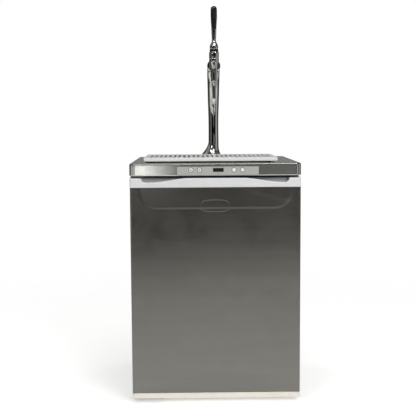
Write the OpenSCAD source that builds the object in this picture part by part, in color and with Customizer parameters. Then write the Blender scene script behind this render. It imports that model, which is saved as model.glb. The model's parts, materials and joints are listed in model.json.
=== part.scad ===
/* [Cabinet] */
// Width of the cabinet body
cab_w = 594; // [588:1:600]
// Depth over worktop, door and condenser
overall_d = 600; // [596:1:604]
// Height of the worktop above the floor
top_h = 850; // [840:1:870]
// Depth of the door, from its front to the back of its liner
door_t = 48.5; // [44:0.5:52]
// Wall thickness of the moulded inner liner
liner_t = 2; // [1.5:0.1:3]

/* [Worktop] */
// Height of the worktop's front apron
apron_h = 44; // [43:1:48]
// Thickness of the stainless sheet
sheet_t = 1.2; // [0.8:0.1:2]
// Plan radius of the worktop's corners
lid_corner_r = 18; // [8:1:30]

/* [Drip tray] */
// Width of the drip tray
tray_w = 470; // [400:1:500]
// Depth of the drip tray, front to back
tray_d = 322; // [250:1:330]
// Height of the tray's rim above the worktop
tray_h = 18; // [14:1:22]
// Spacing of the slots in the grille
slot_pitch = 17; // [14:0.5:24]
// Width of one slot in the grille
slot_w = 8; // [5:0.5:10]

/* [Tower and tap] */
// Distance of the tower's base behind the cabinet's middle
tower_y = 155; // [150:1:170]
// Sideways place of the tap and the tower's neck
neck_x = 5; // [0:1:8]
// Height of the tap's shank above the worktop
head_z = 355; // [345:1:360]
// Distance from the tower's base forward to the tap's upright axis
tap_reach = 130; // [128:1:134]
// Half width of the lever's grip at its widest
grip_r = 12; // [10:0.5:15]

/* [Controls] */
// Width of the control panel
panel_w = 283; // [260:1:300]
// Height of the control panel
panel_h = 29.8; // [28:0.1:32]
// Sideways place of the control panel's middle
panel_x = 8.9; // [-20:0.1:20]

/* [Hidden] */

$fn = 48;
e = 0.01;                                // least overrun of a cutting tool
over = 5;                                // overrun of a tool that drills through a sheet
slip = 0.05;                             // radial slack of a fixed fit
running = 0.08;                          // radial slack of a turning fit

// Planes along Y: the front of the object is at -overall_d/2
front_y = -overall_d / 2;
back_y = overall_d / 2;
apron_y = front_y + 2;                   // front of the worktop's apron
panel_y = front_y + 1;                   // front of the control panel and of the door
door_y = front_y + 1;
door_back_y = door_y + door_t;
face_y = front_y + 64;                   // front face of the cabinet, which the gasket meets
rear_y = back_y - 38;                    // outside of the back panel

half_w = cab_w / 2;
lid_half = half_w + 1.5;
door_half = half_w + 0.5;

// Heights
lid_z = top_h - apron_h;                 // lower edge of the apron
cab_top = lid_z - 6;                     // top of the cabinet wrap
pan_z = 30;                              // top of the base pan, where the wrap starts
door_z0 = 17.5;
door_z1 = cab_top - 1;
cap_z = 38;                              // joint between the bottom cap and the door panel
handle_z = top_h - 84;                   // joint between the door panel and the handle moulding
sheet = sheet_t;

// Inside of the cabinet: the liner's outer box, with a step over the compressor
liner_half = half_w - 45;
liner_z0 = 66;
liner_z1 = cab_top - 43;
liner_y1 = rear_y - 35;
step_y = 72;
step_z = 262;
bay_y = step_y + 33;                     // front wall of the compressor bay
bay_z = step_z - 27;                     // ceiling of the compressor bay

pan_t = 2;
foot_x = half_w - 35;
foot_y = [-205, 225];
foot_stem_r = 5;

// Door hinge axis, at the left edge
hinge_x = -half_w + 9;
hinge_y = -262;
pin_r = 4;
pin_grip = 12;                           // length of a pin inside the door
hinge_t = 3;                             // thickness of the hinge brackets
bracket_x = -half_w + 47;                // inner end of the top bracket

// Tower, tap and the hole for the beer line
base_x = -5;
conduit = [0, tower_y];
conduit_r = 17;
flange_h = 5;
elbow_r = 64;
elbow_step = 7.5;                        // angle between rings of the elbow
neck_back = 8;
tap_y = tower_y - tap_reach;
head_end_y = tower_y - 84;
elbow_y = head_end_y + 10 + elbow_r;      // where the elbow starts
bonnet_z0 = top_h + 379.5;
bonnet_z1 = top_h + 404;
ball_z = top_h + 409;                    // pivot of the tap's lever
ball_r = 16.6;
stud_pcd = 72;
stud_r = 2.5;
backing_t = 4;
foot_r = 46;                             // radius of the tower's gasket and backing plate
shank_r = 10.8;
cap_r = 25.5;
piston_r = 5.6;
line_bore_r = 4;

// Controls: places of the buttons and of the display on the panel
panel_z = top_h - 26.7;
button_z = panel_z + 3.2;
button_x = [-84.7, -55, 64.5, 93.9];
button_r = 7.2;
display = [37, 13.5];
display_x = 10.1;

tray_x = -15;
tray_y0 = front_y + 45;
tray_foot = 4;
tray_corner_r = 3.5;
tray_foot_r = 9;
tray_foot_in = 30;                       // feet, in from the tray's sides
slot_end = 28;                           // end of the slots, in from the tray's front and back
tray_t = 1.5;
grille_t = 2;
slots = floor((tray_w - 22) / slot_pitch);

// Lines inside the cavity
disc_x = 225;
disc_y = [110, 165];
disc_z = 560;
disc_r = 14;
bulk = [150, 728];
bulk_r = 7.9;
bulk_hole_r = 8;
line_r = 4.75;
line_ri = 3.2;

comp = [-90, 185];
comp_top = 190;
comp_r = 70;
comp_plate = [76, 58];                   // half width and half depth of the foot plate
comp_z0 = 44;
comp_foot = [62, 46];                    // rubber mounts, each side of the shell's middle
comp_hole_r = 4;
drain = [comp.x, comp.y + 30];
drain_r = 5;
cond_y = back_y - 17;
tube_r = 2.5;
cond_half = 230;
cond_z0 = 275;
cond_rows = 11;
cond_pitch = 40;
evap_half = 200;
evap_z = [360, 660];
inlet_x = 245;

// Door
door_r = 7;
door_wall = 1;
liner_sheet = 2.5;                       // depth of the door liner's flat rim
plug_half = 238;                         // raised plug of the door liner
plug_z = [84, door_z1 - 57];
plug_h = 24;
gasket_in = 9;
gasket_w = 14;
badge = [-1.5, top_h - 146.5];           // middle of the plain raised oval
badge_w = 105;
badge_h = 46;
badge_bead = 3.5;
pocket_x = [122, 252];                   // finger pockets, one in each half of the handle

// ---------- helpers ----------
module block(lo, hi) { translate(lo) cube(hi - lo); }

module rounded(w, d, r) {
  hull() for (x = [-1, 1], y = [-1, 1]) translate([x * (w / 2 - r), y * (d / 2 - r)]) circle(r, $fn = 32);
}

// Rod along Y from y0 to y1, centred on [x, z]
module rod_y(x, z, y0, y1, r, r2 = -1) {
  translate([x, y0, z]) rotate([-90, 0, 0]) cylinder(h = y1 - y0, r1 = r, r2 = r2 < 0 ? r : r2);
}

module rod_z(x, y, z0, z1, r, r2 = -1) {
  translate([x, y, z0]) cylinder(h = z1 - z0, r1 = r, r2 = r2 < 0 ? r : r2);
}

// Catmull-Rom point between b and c
function smooth_point(a, b, c, d, t) =
  0.5 * (2 * b + (c - a) * t + (2 * a - 5 * b + 4 * c - d) * t * t + (3 * b - a - 3 * c + d) * t * t * t);

// Smooth path through the points, with n steps to each stretch
function smooth_path(p, n) = concat(
  [for (i = [0 : len(p) - 2], k = [0 : n - 1])
    smooth_point(p[max(i - 1, 0)], p[i], p[i + 1], p[min(i + 2, len(p) - 1)], k / n)],
  [p[len(p) - 1]]);

function unit(v) = v / norm(v);
function heading(p, i) = unit(p[min(i + 1, len(p) - 1)] - p[max(i - 1, 0)]);
function side_of(h, last) = unit(last - (last * h) * h);

// One sideways vector for each point of the path, turned as little as possible
function sides_along(p, i = 0, last = [0.31, 0.95, 0.05]) =
  i == len(p) ? [] : let (s = side_of(heading(p, i), last)) concat([s], sides_along(p, i + 1, s));

// Hose or pipe with radius r and bore radius ri, swept along the path
module pipe(path, r, ri = 0, n = 10) {
  m = len(path);
  u = sides_along(path);
  radii = ri > 0 ? [r, ri] : [r];
  points = [for (rad = radii, i = [0 : m - 1], k = [0 : n - 1])
    let (a = 360 * k / n, v = cross(heading(path, i), u[i]))
      path[i] + rad * (cos(a) * u[i] + sin(a) * v)];
  function at(layer, i, k) = layer * m * n + i * n + k % n;
  walls = [for (layer = [0 : len(radii) - 1], i = [0 : m - 2], k = [0 : n - 1])
    let (q = [at(layer, i, k), at(layer, i, k + 1), at(layer, i + 1, k + 1), at(layer, i + 1, k)])
      layer == 0 ? q : [q[3], q[2], q[1], q[0]]];
  ends = ri > 0
    ? [for (k = [0 : n - 1], i = [0, m - 1])
        let (q = [at(0, i, k), at(1, i, k), at(1, i, k + 1), at(0, i, k + 1)])
          i == 0 ? q : [q[3], q[2], q[1], q[0]]]
    : [[for (k = [n - 1 : -1 : 0]) at(0, 0, k)], [for (k = [0 : n - 1]) at(0, m - 1, k)]];
  flat_walls = [for (q = walls) each [[q[0], q[2], q[1]], [q[0], q[3], q[2]]]];
  flat_ends = ri > 0 ? [for (q = ends) each [[q[0], q[2], q[1]], [q[0], q[3], q[2]]]]
                     : [for (q = ends) [for (j = [len(q) - 1 : -1 : 0]) q[j]]];
  polyhedron(points, concat(flat_walls, flat_ends));
}

// ---------- cabinet ----------
module cabinet_wrap() {
  color("silver") difference() {
    block([-half_w, face_y + sheet, pan_z], [half_w, rear_y, cab_top]);
    block([-half_w + sheet, face_y, pan_z - 1], [half_w - sheet, rear_y + 1, cab_top - sheet]);
    rod_z(conduit.x, conduit.y, cab_top - over, cab_top + over, conduit_r);
  }
}

module face_frame() {
  color("gainsboro") difference() {
    block([-half_w, face_y, pan_z], [half_w, face_y + sheet, cab_top]);
    block([-liner_half, face_y - 1, liner_z0], [liner_half, face_y + over, liner_z1]);
  }
}

module back_panel() {
  color("lightgray") difference() {
    block([-half_w + sheet, rear_y - sheet, bay_z], [half_w - sheet, rear_y, cab_top - sheet]);
    rod_y(bulk.x, bulk.y, rear_y - over, rear_y + over, bulk_hole_r);
  }
}

// Side view of the space inside the foam, grown outwards by g
module liner_profile(g) {
  polygon([[face_y - 1, liner_z0 - g], [step_y + g, liner_z0 - g], [step_y + g, step_z - g],
           [liner_y1 + g, step_z - g], [liner_y1 + g, liner_z1 + g], [face_y - 1, liner_z1 + g]]);
}

module along_x(half) {
  rotate([90, 0, 90]) translate([0, 0, -half]) linear_extrude(2 * half) children();
}

module cabinet_foam() {
  color("khaki") difference() {
    along_x(half_w - sheet) polygon([
      [face_y + sheet, pan_z], [bay_y, pan_z], [bay_y, bay_z],
      [rear_y - sheet, bay_z], [rear_y - sheet, cab_top - sheet], [face_y + sheet, cab_top - sheet]]);
    along_x(liner_half) liner_profile(0);
    evaporator_box();
    rod_z(conduit.x, conduit.y, liner_z1 - over, cab_top + over, conduit_r);
    rod_y(bulk.x, bulk.y, liner_y1 - over, rear_y + over, bulk_hole_r);
    rod_z(drain.x, drain.y, bay_z - over, step_z + over, drain_r + 0.1);
  }
}

module inner_liner() {
  color("white") difference() {
    intersection() {
      along_x(liner_half) liner_profile(0);
      block([-half_w, face_y, 0], [half_w, rear_y, top_h]);
    }
    along_x(liner_half - liner_t) liner_profile(-liner_t);
    rod_z(conduit.x, conduit.y, liner_z1 - over, liner_z1 + over, conduit_r);
    rod_y(bulk.x, bulk.y, liner_y1 - over, liner_y1 + over, bulk_hole_r);
    rod_z(drain.x, drain.y, step_z - over, step_z + over, drain_r - 1.5);
  }
}

module evaporator_box() {
  block([-evap_half, liner_y1, evap_z[0]], [evap_half, liner_y1 + 3, evap_z[1]]);
}

// Roll-bonded cold plate behind the liner's back wall, with raised channels
module evaporator_plate() {
  color("silver") {
    block([-evap_half, liner_y1, evap_z[0]], [evap_half, liner_y1 + 1.4, evap_z[1]]);
    for (z = [evap_z[0] + 20 : 36 : evap_z[1] - 20])
      block([20 - evap_half, liner_y1 + 1.3, z], [evap_half - 20, liner_y1 + 2.8, z + 8]);
  }
}

// Rods at the compressor's four rubber mounts
module comp_feet(z0, z1, r) {
  for (x = [-1, 1], y = [-1, 1]) rod_z(comp.x + x * comp_foot.x, comp.y + y * comp_foot.y, z0, z1, r);
}

module base_pan() {
  color("dimgray") difference() {
    block([-half_w + sheet, face_y + sheet, pan_z - pan_t], [half_w - sheet, rear_y, pan_z]);
    for (x = [-1, 1], y = foot_y) rod_z(x * foot_x, y, 0, pan_z + over, foot_stem_r + slip);
    comp_feet(0, pan_z + over, comp_hole_r);
  }
}

// Moulded screw feet: a disc, a hexagon for the spanner and the threaded stem
module levelling_feet() {
  color("black") for (x = [-1, 1], y = foot_y) {
    translate([x * foot_x, y, 0]) rotate_extrude()
      polygon([[0, 0], [17, 0], [18, 1.5], [18, 5], [14, 8], [0, 8]]);
    translate([x * foot_x, y, 8]) cylinder(h = 8, r = 9.8, $fn = 6);
    rod_z(x * foot_x, y, 15, pan_z, foot_stem_r);
  }
}

// ---------- hinges ----------
module hinge_bracket_top() {
  color("gray") difference() {
    block([-half_w + 2, hinge_y - 14, cab_top], [bracket_x, face_y + 44, cab_top + hinge_t]);
    rod_z(hinge_x, hinge_y, cab_top - over, cab_top + over, pin_r);
    for (y = [12, 34]) rod_z(hinge_x + 16, face_y + y, cab_top - over, cab_top + over, 2.6);
  }
}

module hinge_bracket_bottom() {
  plate_z = door_z0 - 2.5 - hinge_t;
  color("gray") difference() {
    union() {
      block([-half_w + 3, front_y + 9, plate_z], [-185, face_y + 60, plate_z + hinge_t]);
      block([-half_w + 3, face_y + 10, plate_z + hinge_t], [-185, face_y + 60, pan_z - pan_t]);
    }
    rod_z(hinge_x, hinge_y, 0, door_z0, pin_r);
    rod_z(-foot_x, foot_y[0], 0, pan_z + 1, 20);
  }
}

module hinge_pins() {
  color("silver") {
    rod_z(hinge_x, hinge_y, door_z1 - pin_grip - 2, cab_top + hinge_t, pin_r);
    rod_z(hinge_x, hinge_y, door_z0 - 2.5 - hinge_t, door_z0 + pin_grip, pin_r);
    rod_z(hinge_x, hinge_y, door_z0 - 5 - hinge_t, door_z0 - 2.5 - hinge_t, pin_r + 2.5);
  }
}

// ---------- worktop ----------
module lid_solid(g) {
  w = 2 * lid_half - 2 * g;
  d = back_y - apron_y - 2 * g;
  z = top_h - g;
  translate([0, (back_y + apron_y) / 2, 0]) hull() {
    translate([0, 0, lid_z]) linear_extrude(apron_h - 12) rounded(w, d, lid_corner_r - g);
    translate([0, 0, z - 8]) linear_extrude(1) rounded(w - 1.2, d - 1.2, lid_corner_r - g);
    translate([0, 0, z - 4]) linear_extrude(1) rounded(w - 5, d - 5, lid_corner_r - g);
    translate([0, 0, z - 1]) linear_extrude(1) rounded(w - 16, d - 16, lid_corner_r - g);
  }
}

module control_window(margin) {
  block([panel_x - panel_w / 2 + margin, front_y - 1, panel_z - 13],
        [panel_x + panel_w / 2 - margin, apron_y + 4, panel_z + 13]);
}

module tower_holes(z0, z1, r) {
  for (a = [30, 150, 270])
    rod_z(base_x + stud_pcd / 2 * cos(a), tower_y + stud_pcd / 2 * sin(a), z0, z1, r);
}

module worktop() {
  color("lightslategray") difference() {
    lid_solid(0);
    translate([0, 0, -e]) lid_solid(sheet);
    control_window(10);
    rod_z(conduit.x, conduit.y, top_h - over, top_h + over, conduit_r);
    tower_holes(top_h - over, top_h + over, stud_r + 0.1);
  }
}

module housing_box(g) {
  block([panel_x - 137 - g, apron_y + sheet, panel_z - 15 - g],
        [panel_x + 137 + g, front_y + 38 + g, panel_z + 15 + g]);
}

// Moulded frame that fills the worktop and carries it on the cabinet
module worktop_frame() {
  gap = sheet + 0.1;
  color("dimgray") difference() {
    union() {
      intersection() {
        lid_solid(gap);
        block([-lid_half, apron_y, lid_z], [lid_half, face_y, top_h]);
      }
      block([-lid_half + gap + 2, face_y, cab_top], [lid_half - gap - 2, back_y - 12, lid_z]);
      intersection() {
        lid_solid(gap);
        block([-lid_half, face_y, lid_z], [lid_half, back_y, top_h]);
      }
    }
    housing_box(0.2);
    block([-half_w + 1.5, face_y - 1, cab_top - 1], [bracket_x + 1, face_y + 45, cab_top + hinge_t + 0.3]);
    rod_z(conduit.x, conduit.y, cab_top - 1, top_h + 1, conduit_r);
    rod_z(base_x, tower_y, top_h - 14, top_h + 1, 50);
  }
}

// ---------- controls ----------
module control_panel() {
  color("gainsboro") difference() {
    block([panel_x - panel_w / 2, panel_y, panel_z - panel_h / 2],
          [panel_x + panel_w / 2, apron_y, panel_z + panel_h / 2]);
    block([display_x - display.x / 2, panel_y - 1, button_z - display.y / 2],
          [display_x + display.x / 2, apron_y + 1, button_z + display.y / 2]);
    for (x = button_x) rod_y(x, button_z, panel_y - 1, apron_y + 1, button_r + 0.3);
  }
}

module display_window() {
  color("black") block([display_x - display.x / 2 + 0.1, panel_y, button_z - display.y / 2 + 0.1],
                       [display_x + display.x / 2 - 0.1, apron_y + 2, button_z + display.y / 2 - 0.1]);
}

// Circuit board with its switches and the display's module
module control_board() {
  color("darkgreen") {
    block([panel_x - 125, front_y + 14, panel_z - 11], [panel_x + 125, front_y + 15.6, panel_z + 11]);
    for (x = button_x) {
      block([x - 3, front_y + 10.5, button_z - 3], [x + 3, front_y + 14, button_z + 3]);
      rod_y(x, button_z, front_y + 7.6, front_y + 10.5, 1.7);
    }
    block([display_x - 16, front_y + 4.5, button_z - 6], [display_x + 16, front_y + 14, button_z + 6]);
    block([panel_x - 60, front_y + 15.6, panel_z - 7], [panel_x - 38, front_y + 26, panel_z + 7]);
  }
}

module control_housing() {
  color("black") difference() {
    housing_box(0);
    block([panel_x - 135, apron_y, panel_z - 13.2], [panel_x + 135, front_y + 36, panel_z + 13.2]);
  }
}

module button(x) {
  color("white") {
    rod_y(x, button_z, front_y + 0.6, front_y + 6.4, button_r);
    rod_y(x, button_z, front_y, front_y + 0.6, button_r - 1.2, button_r);
    rod_y(x, button_z, apron_y + 0.4, apron_y + 1.6, button_r + 1);
  }
}

// ---------- drip tray ----------
module tray_footprint(g, z0, z1) {
  translate([tray_x, tray_y0 + tray_d / 2, z0]) linear_extrude(z1 - z0)
    rounded(tray_w - 2 * g, tray_d - 2 * g, tray_corner_r - min(g, 2));
}

module drip_tray() {
  rim = top_h + tray_h - grille_t;
  floor_z = top_h + tray_foot;
  color("white") {
    difference() {
      tray_footprint(0, floor_z, rim);
      tray_footprint(tray_t, floor_z + tray_t, rim + 1);
    }
    for (x = [-1, 1], y = [tray_foot_in, tray_d - tray_foot_in])
      rod_z(tray_x + x * (tray_w / 2 - tray_foot_in), tray_y0 + y, top_h, floor_z, tray_foot_r);
  }
}

module drip_grille() {
  rim = top_h + tray_h - grille_t;
  first = tray_x - (slots - 1) / 2 * slot_pitch;
  color("silver") difference() {
    tray_footprint(0.2, rim, rim + grille_t);
    for (i = [0 : slots - 1]) translate([first + i * slot_pitch, 0, rim - 1]) {
      translate([-slot_w / 2, tray_y0 + slot_end, 0]) cube([slot_w, tray_d - 2 * slot_end, grille_t + 2]);
      for (y = [slot_end, tray_d - slot_end])
        translate([0, tray_y0 + y, 0]) cylinder(h = grille_t + 2, d = slot_w);
    }
  }
}

// ---------- tower ----------
module tower_gasket() {
  color("black") difference() {
    rod_z(base_x, tower_y, top_h, top_h + 1, foot_r);
    rod_z(conduit.x, conduit.y, top_h - 1, top_h + 2, conduit_r);
    tower_holes(top_h - 1, top_h + 2, stud_r + 0.1);
  }
}

module tower_flange() {
  color("silver") difference() {
    translate([base_x, tower_y, top_h + 1]) rotate_extrude()
      polygon([[0, 0], [47, 0], [48, 1], [48, 3], [46.5, flange_h], [0, flange_h]]);
    rod_z(conduit.x, conduit.y, top_h, top_h + 2 * over, conduit_r);
    tower_holes(top_h, top_h + flange_h, stud_r);
  }
}

// The neck's section: half width across X, and half depth in the plane of the bend
neck_half_w = [[6, 45], [12, 39.5], [19, 35], [27, 30], [39, 24.7], [51, 21.4], [63, 20], [150, 19.7],
               [229, 22], [287, 23.2], [334, 24.6], [390, 25]];
neck_half_d = [[6, 44], [12, 38.5], [19, 34], [27, 29.5], [39, 25], [51, 22.4], [63, 21.2], [150, 21],
               [229, 23], [287, 24.4], [334, 25], [390, 25]];
neck_shift = [[6, base_x], [19, base_x + 1.5], [27, -1.5], [38, 1.6], [50, 3.8], [63, neck_x],
              [400, neck_x]];
neck_bend_z = head_z - elbow_r;
neck_lean = [[6, 0], [40, 1], [100, 6], [160, neck_back], [200, 7], [229, 3.5], [262, -3],
             [neck_bend_z, elbow_y - tower_y]];

// Points of the neck's centreline: up the neck, round the elbow, then straight into the head
neck_heights = [6, 9, 12, 15.5, 19, 23, 27, 32, 38, 44, 50, 56, 63, 80, 110, 135, 160, 180, 200, 215, 229,
                245, 262, 277];
function neck_line() = concat(
  [for (z = neck_heights)
    [lookup(z, neck_shift), tower_y + lookup(z, neck_lean), top_h + z]],
  [for (a = [0 : elbow_step : 90])
    [neck_x, elbow_y - elbow_r * (1 - cos(a)), top_h + neck_bend_z + elbow_r * sin(a)]],
  [[neck_x, head_end_y + 5, top_h + head_z], [neck_x, head_end_y, top_h + head_z]]);
function neck_travel(i) = i < len(neck_heights) ? neck_heights[i]
  : min(neck_bend_z + (i - len(neck_heights)) * elbow_r * elbow_step * PI / 180, 390);
function neck_tilt(i) = i < len(neck_heights) ? 0
  : min((i - len(neck_heights)) * elbow_step, 90);

module tower_neck(n = 32, wall = 3) {
  line = neck_line();
  m = len(line);
  points = [for (inner = [0, 1], i = [0 : m - 1], k = [0 : n - 1])
    let (s = neck_travel(i), a = 360 * k / n, t = neck_tilt(i),
         w = (lookup(s, neck_half_w) - inner * wall) * cos(a),
         d = (lookup(s, neck_half_d) - inner * wall) * sin(a))
      line[i] + [w, d * cos(t), d * sin(t)]];
  function at(layer, i, k) = layer * m * n + i * n + k % n;
  function two(q) = [[q[0], q[2], q[1]], [q[0], q[3], q[2]]];
  function turned(q) = [q[3], q[2], q[1], q[0]];
  walls = [for (layer = [0, 1], i = [0 : m - 2], k = [0 : n - 1])
    let (q = [at(layer, i, k), at(layer, i, k + 1), at(layer, i + 1, k + 1), at(layer, i + 1, k)])
      each two(layer == 0 ? q : turned(q))];
  ends = [for (k = [0 : n - 1], i = [0, m - 1])
    let (q = [at(0, i, k), at(1, i, k), at(1, i, k + 1), at(0, i, k + 1)])
      each two(i == 0 ? q : turned(q))];
  color("silver") polyhedron(points, concat(walls, ends));
}

module tower_backing_plate() {
  color("gray") difference() {
    rod_z(base_x, tower_y, top_h - sheet - backing_t, top_h - sheet - 0.05, foot_r);
    rod_z(conduit.x, conduit.y, top_h - 2 * over, top_h + 1, conduit_r);
    tower_holes(top_h - 2 * over, top_h + 1, stud_r + 0.1);
  }
}

module tower_studs() {
  color("silver") {
    tower_holes(top_h - 12, top_h + flange_h, stud_r);
    for (a = [30, 150, 270]) difference() {
      translate([base_x, tower_y, top_h - sheet - 2 * backing_t]) rotate([0, 0, a])
        translate([stud_pcd / 2, 0, 0]) cylinder(h = backing_t, r = 4.6, $fn = 6);
      tower_holes(top_h - 12, top_h, stud_r);
    }
  }
}

// ---------- tap ----------
module head_cap() {
  color("silver") difference() {
    union() {
      rod_y(neck_x, top_h + head_z, head_end_y - 3, head_end_y, cap_r);
      rod_y(neck_x, top_h + head_z, head_end_y - 5, head_end_y - 3, cap_r - 2.5, cap_r);
    }
    rod_y(neck_x, top_h + head_z, head_end_y - 6, head_end_y + 1, shank_r + slip);
  }
}

module tap_shank() {
  color("silver") difference() {
    union() {
      rod_y(neck_x, top_h + head_z, head_end_y - 17, head_end_y + 18, shank_r);
      rod_y(neck_x, top_h + head_z, head_end_y + 18, head_end_y + 24, 7);
    }
    rod_y(neck_x, top_h + head_z, head_end_y - 18, head_end_y + 25, line_bore_r);
  }
}

module shank_nut() {
  color("goldenrod") difference() {
    translate([neck_x, head_end_y, top_h + head_z]) rotate([-90, 0, 0]) cylinder(h = 8, r = 16, $fn = 6);
    rod_y(neck_x, top_h + head_z, head_end_y - 1, head_end_y + 9, shank_r + slip);
  }
}

// Ring nut, fluted for a spanner with a pin
module coupling_nut() {
  color("silver") difference() {
    union() {
      rod_y(neck_x, top_h + head_z, head_end_y - 17, head_end_y - 5, 17);
      rod_y(neck_x, top_h + head_z, head_end_y - 19, head_end_y - 17, 15, 17);
    }
    rod_y(neck_x, top_h + head_z, head_end_y - 20, head_end_y - 4, shank_r + slip);
    translate([neck_x, 0, top_h + head_z]) for (a = [0 : 30 : 330]) rotate([0, a, 0])
      rod_y(0, 18.4, head_end_y - 20, head_end_y - 4, 2.4);
  }
}

module tap_body() {
  z = top_h;
  color("silver") difference() {
    union() {
      translate([neck_x, tap_y, z]) rotate_extrude() polygon([
        [0, 292], [10, 292], [12, 294], [12.6, 305], [13.6, 328], [15, 347], [17, 361],
        [18.3, 369], [18.6, 377], [17.8, 379.5], [0, 379.5]]);
      rod_y(neck_x, z + head_z, tap_y, head_end_y - 17, shank_r - 0.1);
      rod_y(neck_x, z + head_z, tap_y, head_end_y - 19, 13.6);
    }
    rod_z(neck_x, tap_y, z + 285, z + 395, piston_r + slip);
    rod_y(neck_x, z + head_z, tap_y, head_end_y + 1, line_bore_r);
  }
}

module tap_spout() {
  color("silver") difference() {
    translate([neck_x, tap_y, top_h]) rotate_extrude() polygon([
      [0, 228], [6.1, 228], [6.7, 229], [6.9, 236], [7.6, 257], [8.4, 278], [9.8, 290], [9.8, 292],
      [0, 292]]);
    rod_z(neck_x, tap_y, top_h + 227, top_h + 293, 4.6);
  }
}

// Faceted nut on top of the body, with the socket that holds the lever's ball
module tap_bonnet() {
  color("silver") difference() {
    intersection() {
      translate([neck_x, tap_y, bonnet_z0]) rotate([0, 0, 22.5])
        cylinder(h = bonnet_z1 - bonnet_z0, r = 20, $fn = 8);
      translate([neck_x, tap_y, 0]) rotate_extrude() polygon([
        [0, bonnet_z0], [18.8, bonnet_z0], [19.8, bonnet_z0 + 1.6], [19.8, bonnet_z1 - 5],
        [18.2, bonnet_z1], [0, bonnet_z1]]);
    }
    translate([neck_x, tap_y, ball_z]) sphere(ball_r + 0.4);
    rod_z(neck_x, tap_y, bonnet_z0 - 1, ball_z, piston_r + 0.4);
  }
}

module tap_piston() {
  color("goldenrod") rod_z(neck_x, tap_y, top_h + 345, ball_z - 21, piston_r);
}

module lever_ball() {
  color("black") intersection() {
    translate([neck_x, tap_y, ball_z]) sphere(ball_r);
    rod_z(neck_x, tap_y, ball_z - 12, ball_z + 7.5, ball_r + 1);
  }
}

module lever_dome() {
  color("silver") translate([neck_x, tap_y, ball_z]) rotate_extrude() polygon([
    [0, 7.5], [15.7, 7.5], [16.2, 8.5], [16.2, 12], [15.7, 17], [14.4, 22], [12.4, 27], [10.2, 31],
    [8.2, 34], [7.6, 36], [0, 36]]);
}

module lever_ferrule() {
  color("silver") translate([neck_x, tap_y, ball_z]) rotate_extrude() polygon([
    [0, 36], [8.2, 36], [8.5, 37], [8.5, 39.5], [7.8, 40.5], [8, 44], [8.7, 55], [9.2, 68], [9.5, 79],
    [0, 79]]);
}

// Grip, flattened front to back, with a round end
grip_profile = [[79, 9.6], [87, 9.8], [98, 10.4], [110, 11.2], [120, 11.8], [130, 12], [144, 12],
                [154, 11.8], [159.5, 10.8], [163.5, 8.8], [165.8, 5.6], [166.6, 2.4]];

module lever_grip(n = 28) {
  scale_w = grip_r / 12;
  m = len(grip_profile);
  flatness = [for (i = [0 : m - 1]) i < 3 ? 1 - 0.08 * i : 0.78];
  points = [for (i = [0 : m - 1], k = [0 : n - 1])
    let (p = grip_profile[i], a = 360 * k / n)
      [neck_x + p[1] * scale_w * cos(a), tap_y + p[1] * flatness[i] * sin(a), ball_z + p[0]]];
  walls = [for (i = [0 : m - 2], k = [0 : n - 1])
    let (a = i * n + k, b = i * n + (k + 1) % n) each [[a, b + n, b], [a, a + n, b + n]]];
  ends = [[for (k = [0 : n - 1]) k], [for (k = [n - 1 : -1 : 0]) (m - 1) * n + k]];
  color("black") polyhedron(points, concat(walls, ends));
}

// ---------- beer and gas lines ----------
module line_conduit() {
  color("lightgray") difference() {
    rod_z(conduit.x, conduit.y, liner_z1 - liner_t, top_h, conduit_r - 0.1);
    rod_z(conduit.x, conduit.y, liner_z1 - 5, top_h + 1, conduit_r - 2.5);
  }
}

beer_route = concat(
  [for (p = [[-60, 355], [-50, 354], [-32, 345], [-15, 322], [-5, 290], [2, 245], [6, 200], [8, 150],
             [6, 100]])
    [neck_x, tower_y + p[0], top_h + p[1]]],
  [for (p = [[3, 3, 50], [1, 1, 20], [0, 0, -10], [0, 0, -60], [2, 0, -100], [16, -2, -132], [55, -8, -156],
             [110, -18, -160]])
    [p[0], tower_y + p[1], top_h + p[2]]],
  [for (p = [[165, 126, 700], [205, 115, 700], [222, 110.5, 680], [225, 110, 650], [225, 110, 626],
             [225, 110, 613]]) p]);

gas_route = [
  [225, 165, 613], [225, 165, 626], [225, 165, 655], [222, 162, 690], [208, 160, 718], [184, 162, 728],
  [163, 172, 728], [152, 187, 728], [150, 198, 728], [150, 205, 728]];

module beer_line() { color("lightyellow") pipe(smooth_path(beer_route, 2), line_r, line_ri); }

module gas_line() { color("tomato") pipe(smooth_path(gas_route, 3), line_r, line_ri); }

// Quick disconnects that snap onto the keg's posts, parked on the wall
module line_disconnects() {
  color("dimgray") for (y = disc_y) {
    difference() {
      union() {
        rod_z(disc_x, y, disc_z, disc_z + 30, disc_r);
        rod_z(disc_x, y, disc_z + 30, disc_z + 38, disc_r + 1.8);
        translate([disc_x, y, disc_z + 38]) cylinder(h = 10, r = 8, $fn = 6);
        rod_z(disc_x, y, disc_z + 48, disc_z + 53, 6);
      }
      rod_z(disc_x, y, disc_z - 1, disc_z + 22, 10);
      rod_z(disc_x, y, disc_z + 21, disc_z + 54, 3);
    }
  }
}

module disconnect_clip() {
  wall = liner_half - liner_t;
  color("white") difference() {
    union() {
      block([wall - 3, disc_y[0] - 24, disc_z + 10], [wall, disc_y[1] + 24, disc_z + 30]);
      for (y = disc_y) {
        rod_z(disc_x, y, disc_z + 18, disc_z + 29.9, disc_r + 3);
        block([disc_x + 8, y - 8, disc_z + 18], [wall - 2, y + 8, disc_z + 29.9]);
      }
    }
    for (y = disc_y) {
      rod_z(disc_x, y, disc_z, disc_z + 40, disc_r + 0.1);
      block([disc_x - 30, y - 9, disc_z], [disc_x - 6, y + 9, disc_z + 40]);
    }
  }
}

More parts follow.
